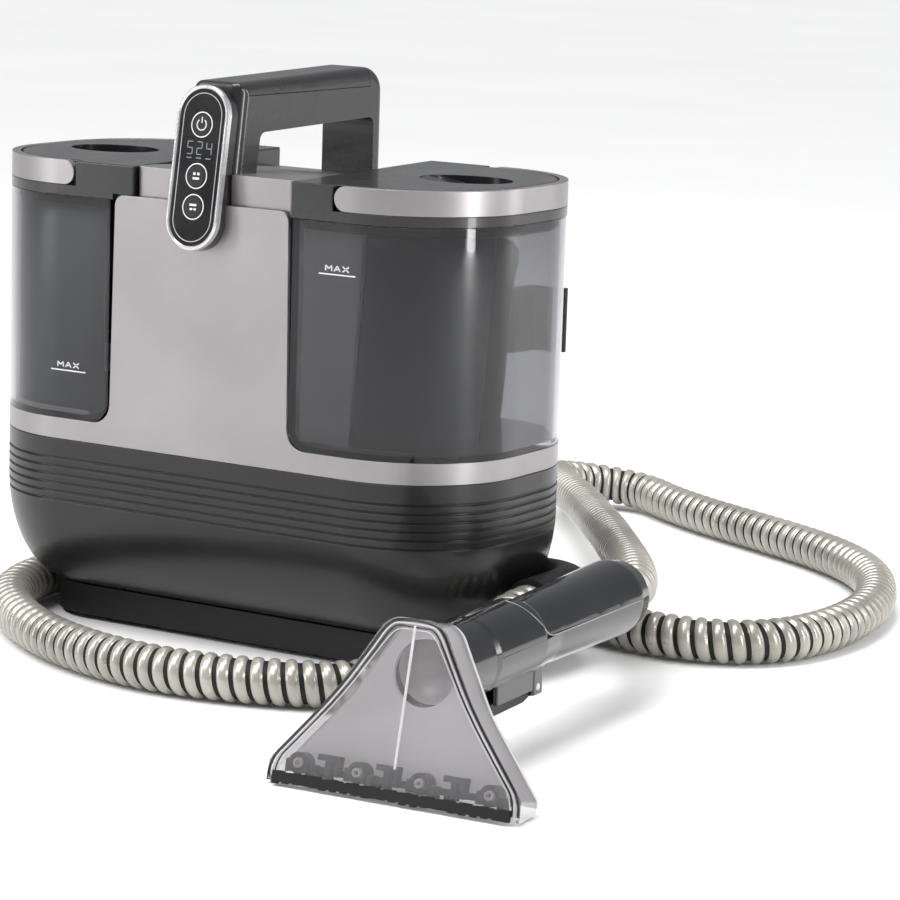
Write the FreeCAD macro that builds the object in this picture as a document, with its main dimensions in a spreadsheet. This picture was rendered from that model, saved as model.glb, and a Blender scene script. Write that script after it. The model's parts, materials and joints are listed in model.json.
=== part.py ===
import FreeCAD, Part
import math
import os
import re
import Sketcher
from FreeCAD import Placement, Rotation, Vector

# Portable carpet washer: a rounded-rectangular machine with a clean and a dirty water tank,
# a bridge handle with a control panel, a corrugated suction hose and a hand tool.
# Millimetres, +Z up, -Y is the front, the origin is the machine's centre on the floor.

doc = FreeCAD.newDocument("carpet_washer")
Y_AXIS = Vector(0, 1, 0)
X_AXIS = Vector(1, 0, 0)
Z_AXIS = Vector(0, 0, 1)

# ---------------------------------------------------------------- driving dimensions
SIZES = {
    # plan outline
    "half_width": 170,
    "half_depth": 84,
    "corner_radius": 68.5,
    "clearance": 0.3,
    # levels of the main parts
    "foot_height": 2.5,
    "plinth_top": 20.7,
    "bowl_bottom": 21,
    "bowl_side_start": 85,
    "bowl_top": 113.1,
    "band_bottom": 113.4,
    "band_top": 125.6,
    "deck_bottom": 119,
    "tank_bottom": 125.9,
    "tank_top": 255.7,
    "core_top": 255,
    "fascia_top": 258.9,
    "lid_bottom": 256,
    "lid_flange_top": 261.7,
    "lid_top": 276,
    # walls
    "plinth_inset": 31,
    "bowl_round": 36,
    "bowl_wall": 3,
    "panel_thickness": 2.5,
    "tank_wall": 3,
    "core_half_width": 60,
    "tank_inner_side": 63,
    "window_round": 12,
    # grooves around the bowl
    "groove_first": 77,
    "groove_pitch": 4.96,
    "groove_depth": 0.9,
    "groove_half_height": 0.8,
    # lids and their carrying bails
    "lid_side_far": 61,
    "lid_side_near": 47,
    "lid_inset": 6.2,
    "bail_pivot": 96.6,
    "bail_level": 269,
    "bail_height": 14,
    "bail_thickness": 5,
    "bail_pin_radius": 2,
    "recess_offset": 121,
    "recess_half_length": 28,
    "recess_half_width": 22.5,
    # handle
    "handle_half_width": 18,
    "handle_round": 7.5,
    "handle_seam": 319,
    # control panel, in its own tilted frame
    "control_tilt": 8.9,
    "control_front": -88.6,
    "control_level": 279.4,
    "control_half_height": 46.5,
    "control_half_width": 17.5,
    "control_rim": 2.2,
    "button_radius": 6,
    "button_hole": 6.3,
    "button_length": 2.2,
    "power_level": 24,
    "display_level": 10.2,
    "mode_level": -4.85,
    "spray_level": -22.2,
    # hose
    "hose_diameter": 26,
    "port_radius": 16,
    "port_level": 40,
    # hand tool, in its own frame: x across, y along the grip, z up, origin at the lip
    "tool_turn": 3.7,
    "tool_across": 260.5,
    "tool_along": -280.3,
    "nozzle_lean": 13.9,
    "nozzle_width": 141,
    "nozzle_height": 91.4,
    "nozzle_depth": 17,
    "nozzle_wall": 2.4,
    "grip_level": 59,
    "grip_bore": 15,
    "neck_radius": 21,
    "neck_end": 76,
    "collar_end": 128,
    "grip_end": 255,
}

sheet = doc.addObject("Spreadsheet::Sheet", "dims")
for row, (word, amount) in enumerate(SIZES.items(), start=1):
    sheet.set(f"A{row}", word)
    sheet.set(f"B{row}", str(amount))
    sheet.setAlias(f"B{row}", word)
doc.recompute()


class Cells:
    """The sheet's values, read back for outlines that are worked out in code."""


for word in SIZES:
    setattr(Cells, word, float(sheet.get(word)))

nodes = []


# ---------------------------------------------------------------- drafting helpers
def bind(thing, prop, formula):
    """Set a property, or bind it to a formula of sheet cells such as "lid_top - lid_bottom"."""
    if isinstance(formula, str):
        thing.setExpression(prop, re.sub(r"[a-z]\w*", lambda found: "dims." + found.group(), formula))
    elif prop.startswith(".AttachmentOffset"):
        thing.AttachmentOffset = Placement(Vector(0, 0, formula), Rotation())
    else:
        setattr(thing, prop, formula)


def finished(thing, name):
    """Give a sub-part its node name and list it for export."""
    thing.Label = name
    nodes.append(thing)
    return thing


def new_body(name, placement=None):
    body = doc.addObject("PartDesign::Body", name)
    if placement is not None:
        body.Placement = placement
    return body


def new_sketch(body, role, offset=0, lift=None):
    """A sketch on one of the body's own origin planes, moved along the plane's normal or up."""
    sketch = body.newObject("Sketcher::SketchObject", "sketch")
    plane = [datum for datum in body.Origin.OriginFeatures if datum.Role == role][0]
    sketch.AttachmentSupport = (plane, "")
    sketch.MapMode = "FlatFace"
    bind(sketch, ".AttachmentOffset.Base.z", offset)
    if lift is not None:
        bind(sketch, ".AttachmentOffset.Base.y", lift)
    return sketch


def rounded_polygon(corners):
    """Edges of a closed outline whose corners (x, y, radius) are rounded."""
    tangents = []
    for index, (x, y, radius) in enumerate(corners):
        here = Vector(x, y, 0)
        back = (Vector(*corners[index - 1][:2], 0) - here).normalize()
        ahead = (Vector(*corners[(index + 1) % len(corners)][:2], 0) - here).normalize()
        if radius == 0:
            tangents.append((here, None, here))
            continue
        half = back.getAngle(ahead) / 2
        reach = radius / math.tan(half)
        bisector = (back + ahead).normalize()
        middle = here + bisector * (radius / math.sin(half) - radius)
        tangents.append((here + back * reach, middle, here + ahead * reach))
    edges = []
    for index, (start, middle, end) in enumerate(tangents):
        previous_end = tangents[index - 1][2]
        if (start - previous_end).Length > 1e-6:
            edges.append(Part.LineSegment(previous_end, start))
        if middle is not None:
            edges.append(Part.Arc(start, middle, end))
    return edges


def outline(body, role, corners, offset=0):
    sketch = new_sketch(body, role, offset)
    for edge in rounded_polygon(corners):
        sketch.addGeometry(edge)
    return sketch


def circles(body, role, centres, radius, offset=0):
    """A sketch of equal circles whose radius is bound to a formula."""
    sketch = new_sketch(body, role, offset)
    for x, y in centres:
        index = sketch.addGeometry(Part.Circle(Vector(x, y, 0), Z_AXIS, 1))
        rule = sketch.addConstraint(Sketcher.Constraint("Radius", index, 1))
        if isinstance(radius, str):
            bind(sketch, f"Constraints[{rule}]", radius)
        else:
            sketch.setDatum(rule, radius)
    return sketch


def pad(body, sketch, length, backwards=False, both_ways=False):
    feature = body.newObject("PartDesign::Pad", "pad")
    feature.Profile = sketch
    feature.Reversed = backwards
    feature.SideType = "Symmetric" if both_ways else "One side"
    bind(feature, "Length", length)
    body.Tip = feature
    return feature


def turned(body, profile, level):
    """A shape turned about a level line along Y: the profile's points are (y, radius, rounding)."""
    sketch = new_sketch(body, "YZ_Plane", lift=level)
    for edge in rounded_polygon(profile):
        sketch.addGeometry(edge)
    feature = body.newObject("PartDesign::Revolution", "turned")
    feature.Profile = sketch
    feature.ReferenceAxis = (sketch, ["H_Axis"])
    feature.Angle = 360
    body.Tip = feature
    return feature


def pocket(body, sketch, depth, backwards=False, both_ways=False):
    """A pocket against the sketch's normal, which must take something away."""
    doc.recompute()
    before = body.Shape.Volume
    feature = body.newObject("PartDesign::Pocket", "pocket")
    feature.Profile = sketch
    feature.Reversed = backwards
    feature.SideType = "Symmetric" if both_ways else "One side"
    bind(feature, "Length", depth)
    body.Tip = feature
    doc.recompute()
    if body.Shape.Volume > before - 0.01:
        raise RuntimeError(f"a pocket of {body.Name} cuts nothing")
    return feature


def dress(body, kind, radius, wanted):
    """A fillet or chamfer on the edges of the body that the test picks out."""
    doc.recompute()
    base = body.Tip
    edges = [f"Edge{n}" for n, edge in enumerate(base.Shape.Edges, start=1) if wanted(edge)]
    feature = body.newObject(f"PartDesign::{kind}", kind.lower())
    feature.Base = (base, edges)
    bind(feature, "Radius" if kind == "Fillet" else "Size", radius)
    body.Tip = feature
    return feature


def edge_lies(edge, axis, level):
    """Whether an edge lies in the plane where the axis's coordinate is the level."""
    low = getattr(edge.BoundBox, axis + "Min")
    high = getattr(edge.BoundBox, axis + "Max")
    return abs(low - level) < 0.01 and abs(high - level) < 0.01


def cylinder(name, radius, height, base, direction=Z_AXIS):
    """A Part cylinder; base is a Vector, and radius and height are formulas or numbers."""
    shape = doc.addObject("Part::Cylinder", name)
    shape.Placement = Placement(base, Rotation(Z_AXIS, direction))
    bind(shape, "Radius", radius)
    bind(shape, "Height", height)
    return shape


def block(name, length, width, height, corner):
    shape = doc.addObject("Part::Box", name)
    bind(shape, "Length", length)
    bind(shape, "Width", width)
    bind(shape, "Height", height)
    shape.Placement = Placement(corner, Rotation())
    return shape


def cut(name, base, tool):
    result = doc.addObject("Part::Cut", name)
    result.Base = base
    result.Tool = tool
    return result


def common(name, first, second):
    result = doc.addObject("Part::Common", name)
    result.Base = first
    result.Tool = second
    return result


def joined(name, shapes):
    result = doc.addObject("Part::MultiFuse", name)
    result.Shapes = shapes
    return result


def group(name, shapes):
    """Separate identical pieces that share one node."""
    result = doc.addObject("Part::Compound", name)
    result.Links = shapes
    return result


def rounded_route(points):
    """A wire of straight runs joined by tangent arcs, each as large as its runs allow."""
    edges = []
    radii = []
    end = points[0]
    for before, here, after in zip(points, points[1:], points[2:]):
        back = (before - here).normalize()
        ahead = (after - here).normalize()
        half = back.getAngle(ahead) / 2
        reach = 0.45 * min((before - here).Length, (after - here).Length)
        radius = reach * math.tan(half)
        middle = here + (back + ahead).normalize() * (radius / math.sin(half) - radius)
        edges.append(Part.LineSegment(end, here + back * reach).toShape())
        edges.append(Part.Arc(here + back * reach, middle, here + ahead * reach).toShape())
        radii.append(radius)
        end = here + ahead * reach
    edges.append(Part.LineSegment(end, points[-1]).toShape())
    return Part.Wire(edges), radii


def swept(route, radius):
    start = route.Edges[0].Vertexes[0].Point
    heading = route.Edges[0].tangentAt(route.Edges[0].FirstParameter)
    ring = Part.Wire([Part.Circle(start, heading, radius).toShape()])
    return route.makePipeShell([ring], True, False)


def plan(inset=0, side_from=None, side=1):
    """Corners of the machine's plan outline, or of its part beyond side_from on one side."""
    across = Cells.half_width - inset
    deep = Cells.half_depth - inset
    radius = Cells.corner_radius - inset
    if side_from is None:
        signs = [(-1, -1), (1, -1), (1, 1), (-1, 1)]
        return [(sx * across, sy * deep, radius) for sx, sy in signs]
    return [
        (side * side_from, -deep, 0),
        (side * across, -deep, radius),
        (side * across, deep, radius),
        (side * side_from, deep, 0),
    ]


# ---------------------------------------------------------------- base
SCREW_PLACES = [(x, y) for x in (-96, 0, 96) for y in (-36, 36)]
FOOT_PLACES = [(0, 0)] + [(x, y) for x in (-118, 118) for y in (-24, 24)]
PORT_ALONG = 46
PORT_ACROSS = 180
PORT_BEND = 20
GLAND_PLACE = (-92, 60)
CLEAN_OUTLET = (112, 6)
DIRTY_INLET = (-98, 46)
DIRTY_OUTLET = (-98, -34)


def base_plate():
    body = new_body("base_plate")
    pad(body, outline(body, "XY_Plane", plan(Cells.plinth_inset), "foot_height"), "plinth_top - foot_height")
    inside = outline(body, "XY_Plane", plan(Cells.plinth_inset + 3), "plinth_top")
    pocket(body, inside, "plinth_top - foot_height - 3")
    posts = circles(body, "XY_Plane", SCREW_PLACES, "bowl_wall + 2", "foot_height")
    pad(body, posts, "plinth_top - foot_height")
    pocket(body, circles(body, "XY_Plane", SCREW_PLACES, "bowl_wall - 0.8", "plinth_top"), "plinth_top")
    pocket(body, circles(body, "XY_Plane", SCREW_PLACES, "bowl_wall + 1.2", "foot_height"), "bowl_wall", True)
    foot_wells = circles(body, "XY_Plane", FOOT_PLACES, "bowl_wall + 1.2", "foot_height")
    pocket(body, foot_wells, "bowl_wall - 0.8", True)
    vents = new_sketch(body, "XY_Plane", "foot_height")
    for number in range(9):
        left = -44 + 11 * number
        for edge in rounded_polygon([(left, -22, 2), (left + 4, -22, 2), (left + 4, 22, 2), (left, 22, 2)]):
            vents.addGeometry(edge)
    pocket(body, vents, "bowl_wall + 1", True)
    finished(body, "base_plate")


def rubber_feet():
    feet = []
    for x, y in FOOT_PLACES:
        pad_disc = cylinder("foot_disc", 11, "foot_height", Vector(x, y, 0))
        stem = cylinder("foot_stem", "bowl_wall + 1", 2, Vector(x, y, Cells.foot_height))
        feet.append(joined("foot", [pad_disc, stem]))
    finished(group("feet", feet), "rubber_feet")


def base_screws():
    screws = []
    for x, y in SCREW_PLACES:
        head = cylinder("screw_head", "bowl_wall + 0.8", 2.2, Vector(x, y, 3.2))
        shank = cylinder("screw_shank", "bowl_wall - 1", 23, Vector(x, y, 5.4))
        screws.append(joined("screw", [head, shank]))
    finished(group("screws", screws), "base_screws")


def bowl_inset(level, wall=0):
    """How far the bowl's face, or a face one wall inside it, is drawn in at a level."""
    drop = max(0, Cells.bowl_side_start - level)
    deepest = Cells.bowl_side_start - Cells.bowl_bottom - wall
    return wall + (Cells.bowl_round - wall) * (1 - math.sqrt(max(0, 1 - (drop / deepest) ** 2)))


def base_tub():
    body = new_body("base_tub")
    path = new_sketch(body, "XY_Plane")
    loop = rounded_polygon([(0, -Cells.half_depth, 0)] + plan()[1:] + plan()[:1])
    for edge in loop[1:] + loop[:1]:
        path.addGeometry(edge)

    def face(level, wall=0, recess=0):
        return Vector(-(Cells.half_depth - bowl_inset(level, wall) - recess), level, 0)

    section = new_sketch(body, "YZ_Plane")
    points = [face(Cells.bowl_top)]
    for number in range(5, -1, -1):
        middle = Cells.groove_first + number * Cells.groove_pitch
        half = Cells.groove_half_height
        points.append(face(middle + half))
        points.append(face(middle + half / 2, recess=Cells.groove_depth))
        points.append(face(middle - half / 2, recess=Cells.groove_depth))
        points.append(face(middle - half))
    for start, end in zip(points, points[1:]):
        section.addGeometry(Part.LineSegment(start, end))
    lowest = Cells.groove_first - Cells.groove_half_height
    curve_steps = 12
    outer_drop = lowest - Cells.bowl_bottom
    turns = [math.pi / 2 * n / curve_steps for n in range(curve_steps + 1)]
    outer = [face(lowest - outer_drop * math.sin(turn)) for turn in turns]
    inner_floor = Cells.bowl_bottom + Cells.bowl_wall
    inner_drop = Cells.bowl_side_start - inner_floor
    inner = [
        face(Cells.bowl_side_start - inner_drop * math.sin(math.pi / 2 * n / curve_steps), Cells.bowl_wall)
        for n in range(curve_steps + 1)
    ]
    outer_curve = Part.BSplineCurve()
    outer_curve.interpolate(outer)
    inner_curve = Part.BSplineCurve()
    inner_curve.interpolate(inner)
    section.addGeometry(outer_curve)
    section.addGeometry(Part.LineSegment(outer[-1], inner[-1]))
    section.addGeometry(inner_curve)
    section.addGeometry(Part.LineSegment(inner[0], face(Cells.bowl_top, Cells.bowl_wall)))
    section.addGeometry(Part.LineSegment(face(Cells.bowl_top, Cells.bowl_wall), face(Cells.bowl_top)))
    doc.recompute()
    wall = body.newObject("PartDesign::AdditivePipe", "wall")
    wall.Profile = section
    wall.Spine = (path, [])
    body.Tip = wall
    floor = outline(body, "XY_Plane", plan(Cells.bowl_round - 1), "bowl_bottom")
    pad(body, floor, "bowl_wall")
    pad(body, circles(body, "XY_Plane", SCREW_PLACES, "bowl_wall + 2", "bowl_bottom + 1"), 8)
    pocket(body, circles(body, "XY_Plane", SCREW_PLACES, "bowl_wall - 0.9", "bowl_bottom + 15"), 20)
    place = (PORT_ALONG, Cells.port_level)
    port = circles(body, "YZ_Plane", [place], "port_radius + clearance", "half_width")
    pocket(body, port, "corner_radius - 20")
    gland = circles(body, "XZ_Plane", [GLAND_PLACE], "bowl_wall + 3.3", "-half_depth - 5")
    pocket(body, gland, 20, True)
    finished(body, "base_tub")


def front_fascia():
    body = new_body("front_fascia")
    ring = outline(body, "XY_Plane", plan(), "band_bottom")
    for edge in rounded_polygon(plan(Cells.panel_thickness)):
        ring.addGeometry(edge)
    pad(body, ring, "band_top - band_bottom")
    foot_level = Cells.band_bottom + 2
    round_in = Cells.window_round
    low_half = 61.8
    top_half = 59.6
    wide = low_half + 2 * round_in
    right = [
        (wide, foot_level, 0),
        (wide, Cells.band_top, 0),
        (low_half, Cells.band_top, round_in),
        (top_half, Cells.fascia_top, 6),
    ]
    left = [(-x, z, radius) for x, z, radius in reversed(right)]
    pad(body, outline(body, "XZ_Plane", right + left, "half_depth"), "panel_thickness", True)
    finished(body, "front_fascia")


def tank_deck():
    body = new_body("tank_deck")
    deck = outline(body, "XY_Plane", plan(Cells.panel_thickness + Cells.clearance), "deck_bottom")
    pad(body, deck, "band_top - deck_bottom - clearance")
    pocket(body, circles(body, "XY_Plane", [CLEAN_OUTLET], 13.5, "band_top"), 20)
    pocket(body, circles(body, "XY_Plane", [DIRTY_INLET], 15.4, "band_top"), 20)
    pocket(body, circles(body, "XY_Plane", [DIRTY_OUTLET], 13.4, "band_top"), 20)
    wiring = outline(body, "XY_Plane", [(-30, 40, 4), (30, 40, 4), (30, 62, 4), (-30, 62, 4)], "band_top")
    pocket(body, wiring, 20)
    finished(body, "tank_deck")


def core_housing():
    body = new_body("core_housing")
    half = Cells.core_half_width
    front = -Cells.half_depth + Cells.panel_thickness + Cells.clearance
    rear = Cells.half_depth - 3.5
    pad(
        body,
        outline(
            body, "XY_Plane", [(-half, front, 3), (half, front, 3), (half, rear, 3), (-half, rear, 3)], "band_top"
        ),
        "core_top - band_top",
    )
    wall = 2.5
    inside = [
        (-half + wall, front + wall, 1),
        (half - wall, front + wall, 1),
        (half - wall, rear - wall, 1),
        (-half + wall, rear - wall, 1),
    ]
    pocket(body, outline(body, "XY_Plane", inside, "band_top"), "core_top - band_top - 3", True)
    finished(body, "core_housing")


def rear_cover():
    body = new_body("rear_cover")
    right = [(103, 126.2, 5), (112, 232, 8), (60, 247, 14)]
    left = [(-x, z, radius) for x, z, radius in reversed(right)]
    pad(body, outline(body, "XZ_Plane", right + left, "-half_depth"), "panel_thickness + 0.6")
    slots = new_sketch(body, "XZ_Plane", "-half_depth")
    for row in range(8):
        low = 150 + 8 * row
        high = low + 3.5
        for edge in rounded_polygon([(-40, low, 1.7), (40, low, 1.7), (40, high, 1.7), (-40, high, 1.7)]):
            slots.addGeometry(edge)
    pocket(body, slots, 1.4, True)
    finished(body, "rear_cover")


def cord_hook(name, side):
    body = new_body(name)
    inner = 104
    outer = 130
    corners = [
        (inner, Cells.half_depth + 0.3, 0),
        (inner + 6, Cells.half_depth + 0.3, 0),
        (inner + 6, 105.6, 2.5),
        (outer, 105.6, 1.9),
        (outer, 109.9, 1.9),
        (inner, 109.9, 4),
    ]
    pad(body, outline(body, "XY_Plane", [(side * x, y, radius) for x, y, radius in corners], 167), 38)
    finished(body, name)


def cord_gland():
    x, z = GLAND_PLACE
    flange = cylinder("gland_flange", 10, 4, Vector(x, Cells.half_depth, z), Y_AXIS)
    neck = cylinder("gland_neck", "bowl_wall + 3", 14, Vector(x, Cells.half_depth - 13.5, z), Y_AXIS)
    bore = cylinder("gland_bore", 3.6, 40, Vector(x, Cells.half_depth - 20, z), Y_AXIS)
    finished(cut("gland", joined("gland_body", [flange, neck]), bore), "cord_gland")


def hose_port():
    body = new_body("hose_port")
    path = new_sketch(body, "XY_Plane", "port_level")
    start = Vector(128, PORT_ALONG, 0)
    corner = Vector(PORT_ACROSS, PORT_ALONG, 0)
    bend_in = corner - X_AXIS * PORT_BEND
    bend_out = corner - Y_AXIS * PORT_BEND
    centre = corner - (X_AXIS + Y_AXIS) * PORT_BEND
    path.addGeometry(Part.LineSegment(start, bend_in))
    path.addGeometry(Part.Arc(bend_in, centre + (X_AXIS + Y_AXIS).normalize() * PORT_BEND, bend_out))
    path.addGeometry(Part.LineSegment(bend_out, Vector(PORT_ACROSS, 14, 0)))
    section = circles(body, "YZ_Plane", [(PORT_ALONG, Cells.port_level)], "port_radius", start.x)
    bore = section.addGeometry(Part.Circle(Vector(PORT_ALONG, Cells.port_level, 0), Z_AXIS, 1))
    rule = section.addConstraint(Sketcher.Constraint("Radius", bore, 1))
    bind(section, f"Constraints[{rule}]", "port_radius - 2.5")
    doc.recompute()
    pipe = body.newObject("PartDesign::AdditivePipe", "elbow")
    pipe.Profile = section
    pipe.Spine = (path, [])
    body.Tip = pipe
    finished(body, "hose_port")


# ---------------------------------------------------------------- machinery inside the base
FAN_PLACE = Vector(-38, 0, 0)


def fan_housing():
    drum = cylinder("fan_drum", 44, 30, FAN_PLACE + Z_AXIS * 27)
    inside = cylinder("fan_space", 41, 24, FAN_PLACE + Z_AXIS * 30)
    eye = cylinder("fan_eye", 7, 10, FAN_PLACE + Z_AXIS * 50)
    outlet = cylinder("fan_outlet", 9, 8, FAN_PLACE + Vector(22, 0, 24))
    inlet = cylinder("fan_inlet", 10, 20, FAN_PLACE + Vector(-52, -6, 43), X_AXIS)
    finished(cut("fan_shell", drum, joined("fan_hollow", [inside, eye, outlet, inlet])), "fan_housing")


def impeller():
    hub = cylinder("impeller_hub", 9, 16, FAN_PLACE + Z_AXIS * 33)
    disc = cylinder("impeller_disc", 37, 2, FAN_PLACE + Z_AXIS * 33)
    blades = []
    for number in range(9):
        blade = block("impeller_blade", 26, 1.6, 14, Vector(0, 0, 0))
        turn = Rotation(Z_AXIS, 40 * number)
        blade.Placement = Placement(FAN_PLACE + Z_AXIS * 34 + turn.multVec(Vector(8, 2, 0)), turn)
        blades.append(blade)
    bore = cylinder("impeller_bore", 4.02, 40, FAN_PLACE + Z_AXIS * 30)
    finished(cut("impeller_wheel", joined("impeller_body", [hub, disc] + blades), bore), "impeller")
    finished(cylinder("shaft", 4, 40, FAN_PLACE + Z_AXIS * 32), "motor_shaft")


def vacuum_motor():
    can = cylinder("motor_can", 36, 40, FAN_PLACE + Z_AXIS * 60)
    cap = cylinder("motor_cap", 22, 8, FAN_PLACE + Z_AXIS * 100)
    nose = cylinder("motor_nose", 14, 2.7, FAN_PLACE + Z_AXIS * 57.3)
    bore = cylinder("motor_bore", 4.05, 30, FAN_PLACE + Z_AXIS * 50)
    finished(cut("motor", joined("motor_body", [can, cap, nose]), bore), "vacuum_motor")


def water_pump():
    coil = block("pump_coil", 34, 30, 30, Vector(50, -52, 30))
    barrel = cylinder("pump_barrel", 11, 62, Vector(36, -37, 45), X_AXIS)
    foot = block("pump_foot", 44, 34, 2.6, Vector(45, -54, 25.4))
    web = block("pump_web", 4, 20, 6, Vector(64, -47, 27))
    finished(joined("pump", [coil, barrel, foot, web]), "water_pump")


def main_pcb():
    board = block("board", 60, 1.6, 40, Vector(30, -62, 66))
    relay = block("relay", 14, 9, 12, Vector(38, -60.4, 74))
    choke = cylinder("choke", 6, 9, Vector(70, -60.4, 84), Y_AXIS)
    capacitor = cylinder("capacitor", 5, 14, Vector(56, -60.4, 96), Y_AXIS)
    finished(joined("circuit", [board, relay, choke, capacitor]), "main_pcb")


def duct(name, points, radius, wall):
    """A hollow moulded duct along a route, made solid by solid because it bends in space."""
    route, radii = rounded_route([Vector(*point) for point in points])
    feature = doc.addObject("Part::Feature", name)
    feature.Shape = swept(route, radius).cut(swept(route, radius - wall))
    finished(feature, name)


def ducts():
    suction = [
        (127.7, PORT_ALONG, Cells.port_level),
        (112, PORT_ALONG + 0.5, Cells.port_level + 1),
        (72, 56, 60),
        (30, 58, 66),
        (-20, 60, 66),
        (-68, 60, 68),
        (DIRTY_INLET[0], DIRTY_INLET[1], 88),
        (DIRTY_INLET[0], DIRTY_INLET[1], Cells.deck_bottom - 0.3),
    ]
    duct("suction_duct", suction, 13, 2)
    air = [
        (DIRTY_OUTLET[0], DIRTY_OUTLET[1], Cells.deck_bottom - 0.3),
        (DIRTY_OUTLET[0], DIRTY_OUTLET[1], 78),
        (-112, -8, 46),
        (-82.6, -6, 43),
    ]
    duct("air_duct", air, 9, 1.5)


def valve_seat():
    x, y = CLEAN_OUTLET
    cup = cylinder("seat_cup", 18, 22, Vector(x, y, 96.7))
    space = cylinder("seat_space", 13.2, 20, Vector(x, y, 99.2))
    pin = cylinder("seat_pin", 1.5, 10, Vector(x, y, 98.2))
    spigot = cylinder("seat_spigot", 4, 16, Vector(x, y, 82))
    drain = cylinder("seat_drain", 2.2, 30, Vector(x + 7, y, 80))
    shell = cut("seat_shell", joined("seat_body", [cup, spigot]), space)
    finished(cut("seat", joined("seat_with_pin", [shell, pin]), drain), "valve_seat")


# ---------------------------------------------------------------- tanks
def tank_block(name, side, inset, top):
    """The solid that a tank's wall fills out to, drawn in by an inset on every side."""
    body = new_body(name)
    inner = Cells.tank_inner_side + inset
    low = Cells.tank_bottom + inset
    back = Cells.half_depth - 3.7 - inset
    corners = plan(inset, inner, side)[:2] + [
        (side * (Cells.half_width - inset), back, Cells.corner_radius - 4 - inset),
        (side * inner, back, 0),
    ]
    level = "tank_bottom" if inset == 0 else "tank_bottom + tank_wall"
    pad(body, outline(body, "XY_Plane", corners, level), top)
    radius = Cells.window_round + Cells.clearance - inset
    waste = [
        (side * (inner - 3), low + radius, 0),
        (side * (inner - 3), low - 3, 0),
        (side * (inner + radius), low - 3, 0),
        (side * (inner + radius), low, 0),
        (side * inner, low, radius),
        (side * inner, low + radius, 0),
    ]
    pocket(body, outline(body, "XZ_Plane", waste), "half_depth * 3", both_ways=True)
    return body


def tank(name, side, openings):
    outer = tank_block(f"{name}_outer", side, 0, "tank_top - tank_bottom")
    inner = tank_block(f"{name}_inner", side, Cells.tank_wall, "tank_top - tank_bottom")
    shell = cut(f"{name}_shell", outer, inner)
    holes = [
        cylinder("tank_hole", radius, 20, Vector(x, y, Cells.tank_bottom - 10)) for (x, y), radius in openings
    ]
    hole_tool = holes[0] if len(holes) == 1 else joined("tank_holes", holes)
    finished(cut(name, shell, hole_tool), name)


def clean_tank_valve():
    x, y = CLEAN_OUTLET
    cap = cylinder("cap_outer", 12, 10.2, Vector(x, y, 115.6))
    space = cylinder("cap_space", 9.5, 12, Vector(x, y, 117.8))
    flow = [
        cylinder("cap_flow", 2, 12, Vector(x + 6 * math.cos(turn), y + 6 * math.sin(turn), 110))
        for turn in (0, math.pi / 2, math.pi, 1.5 * math.pi)
    ]
    guide = cylinder("cap_guide", 2.05, 12, Vector(x, y, 110))
    finished(cut("outlet_cap", cap, joined("cap_hollow", [space, guide] + flow)), "clean_outlet_cap")
    disc = cylinder("poppet_disc", 10.5, 2.4, Vector(x, y, Cells.tank_bottom + Cells.tank_wall + 0.1))
    stem = cylinder("poppet_stem", 2, 18, Vector(x, y, 111.5))
    finished(joined("poppet", [disc, stem]), "clean_valve_poppet")


def standpipe(name, place, radius, top, hood):
    x, y = place
    base = 119.4
    height = top - base
    pipe = cylinder("pipe_outer", radius, height, Vector(x, y, base))
    collar = cylinder("pipe_collar", radius + 3, 2.5, Vector(x, y, Cells.tank_bottom + Cells.tank_wall + 0.1))
    rest = cylinder("pipe_rest", radius + 2.5, 2.5, Vector(x, y, 147))
    bore = cylinder("pipe_bore", radius - 1.8, height - hood, Vector(x, y, base - 0.5))
    window = block("pipe_window", 2 * radius + 4, radius * 1.1, 16, Vector(x - radius - 2, y, top - hood - 17))
    solid = joined(f"{name}_body", [pipe, collar, rest])
    finished(cut(f"{name}_cut", solid, joined("pipe_hollow", [bore, window])), name)


def float_ring():
    x, y = DIRTY_OUTLET
    ring = cylinder("float_outer", 19, 16, Vector(x, y, 150))
    bore = cylinder("float_bore", 13.4, 30, Vector(x, y, 145))
    finished(cut("float", ring, bore), "float_ring")


# ---------------------------------------------------------------- lids
def lid_recess(name, grown):
    """The finger recess: an oval well whose floor slopes down from the inner side."""
    oval_body = new_body(f"{name}_oval")
    oval = new_sketch(oval_body, "XY_Plane", 255)
    centre = Vector(Cells.recess_offset, 3, 0)
    oval.addGeometry(Part.Ellipse(centre, Cells.recess_half_length + grown, Cells.recess_half_width + grown))
    pad(oval_body, oval, 30)
    slope_body = new_body(f"{name}_slope")
    slope = [
        (80, 280, 0),
        (80, 275.8 - grown, 0),
        (94, 275.6 - grown, 3),
        (134, 264 - grown, 6),
        (160, 264 - grown, 0),
        (160, 280, 0),
    ]
    pad(slope_body, outline(slope_body, "XZ_Plane", slope), "half_depth", both_ways=True)
    return common(name, oval_body, slope_body)


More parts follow.
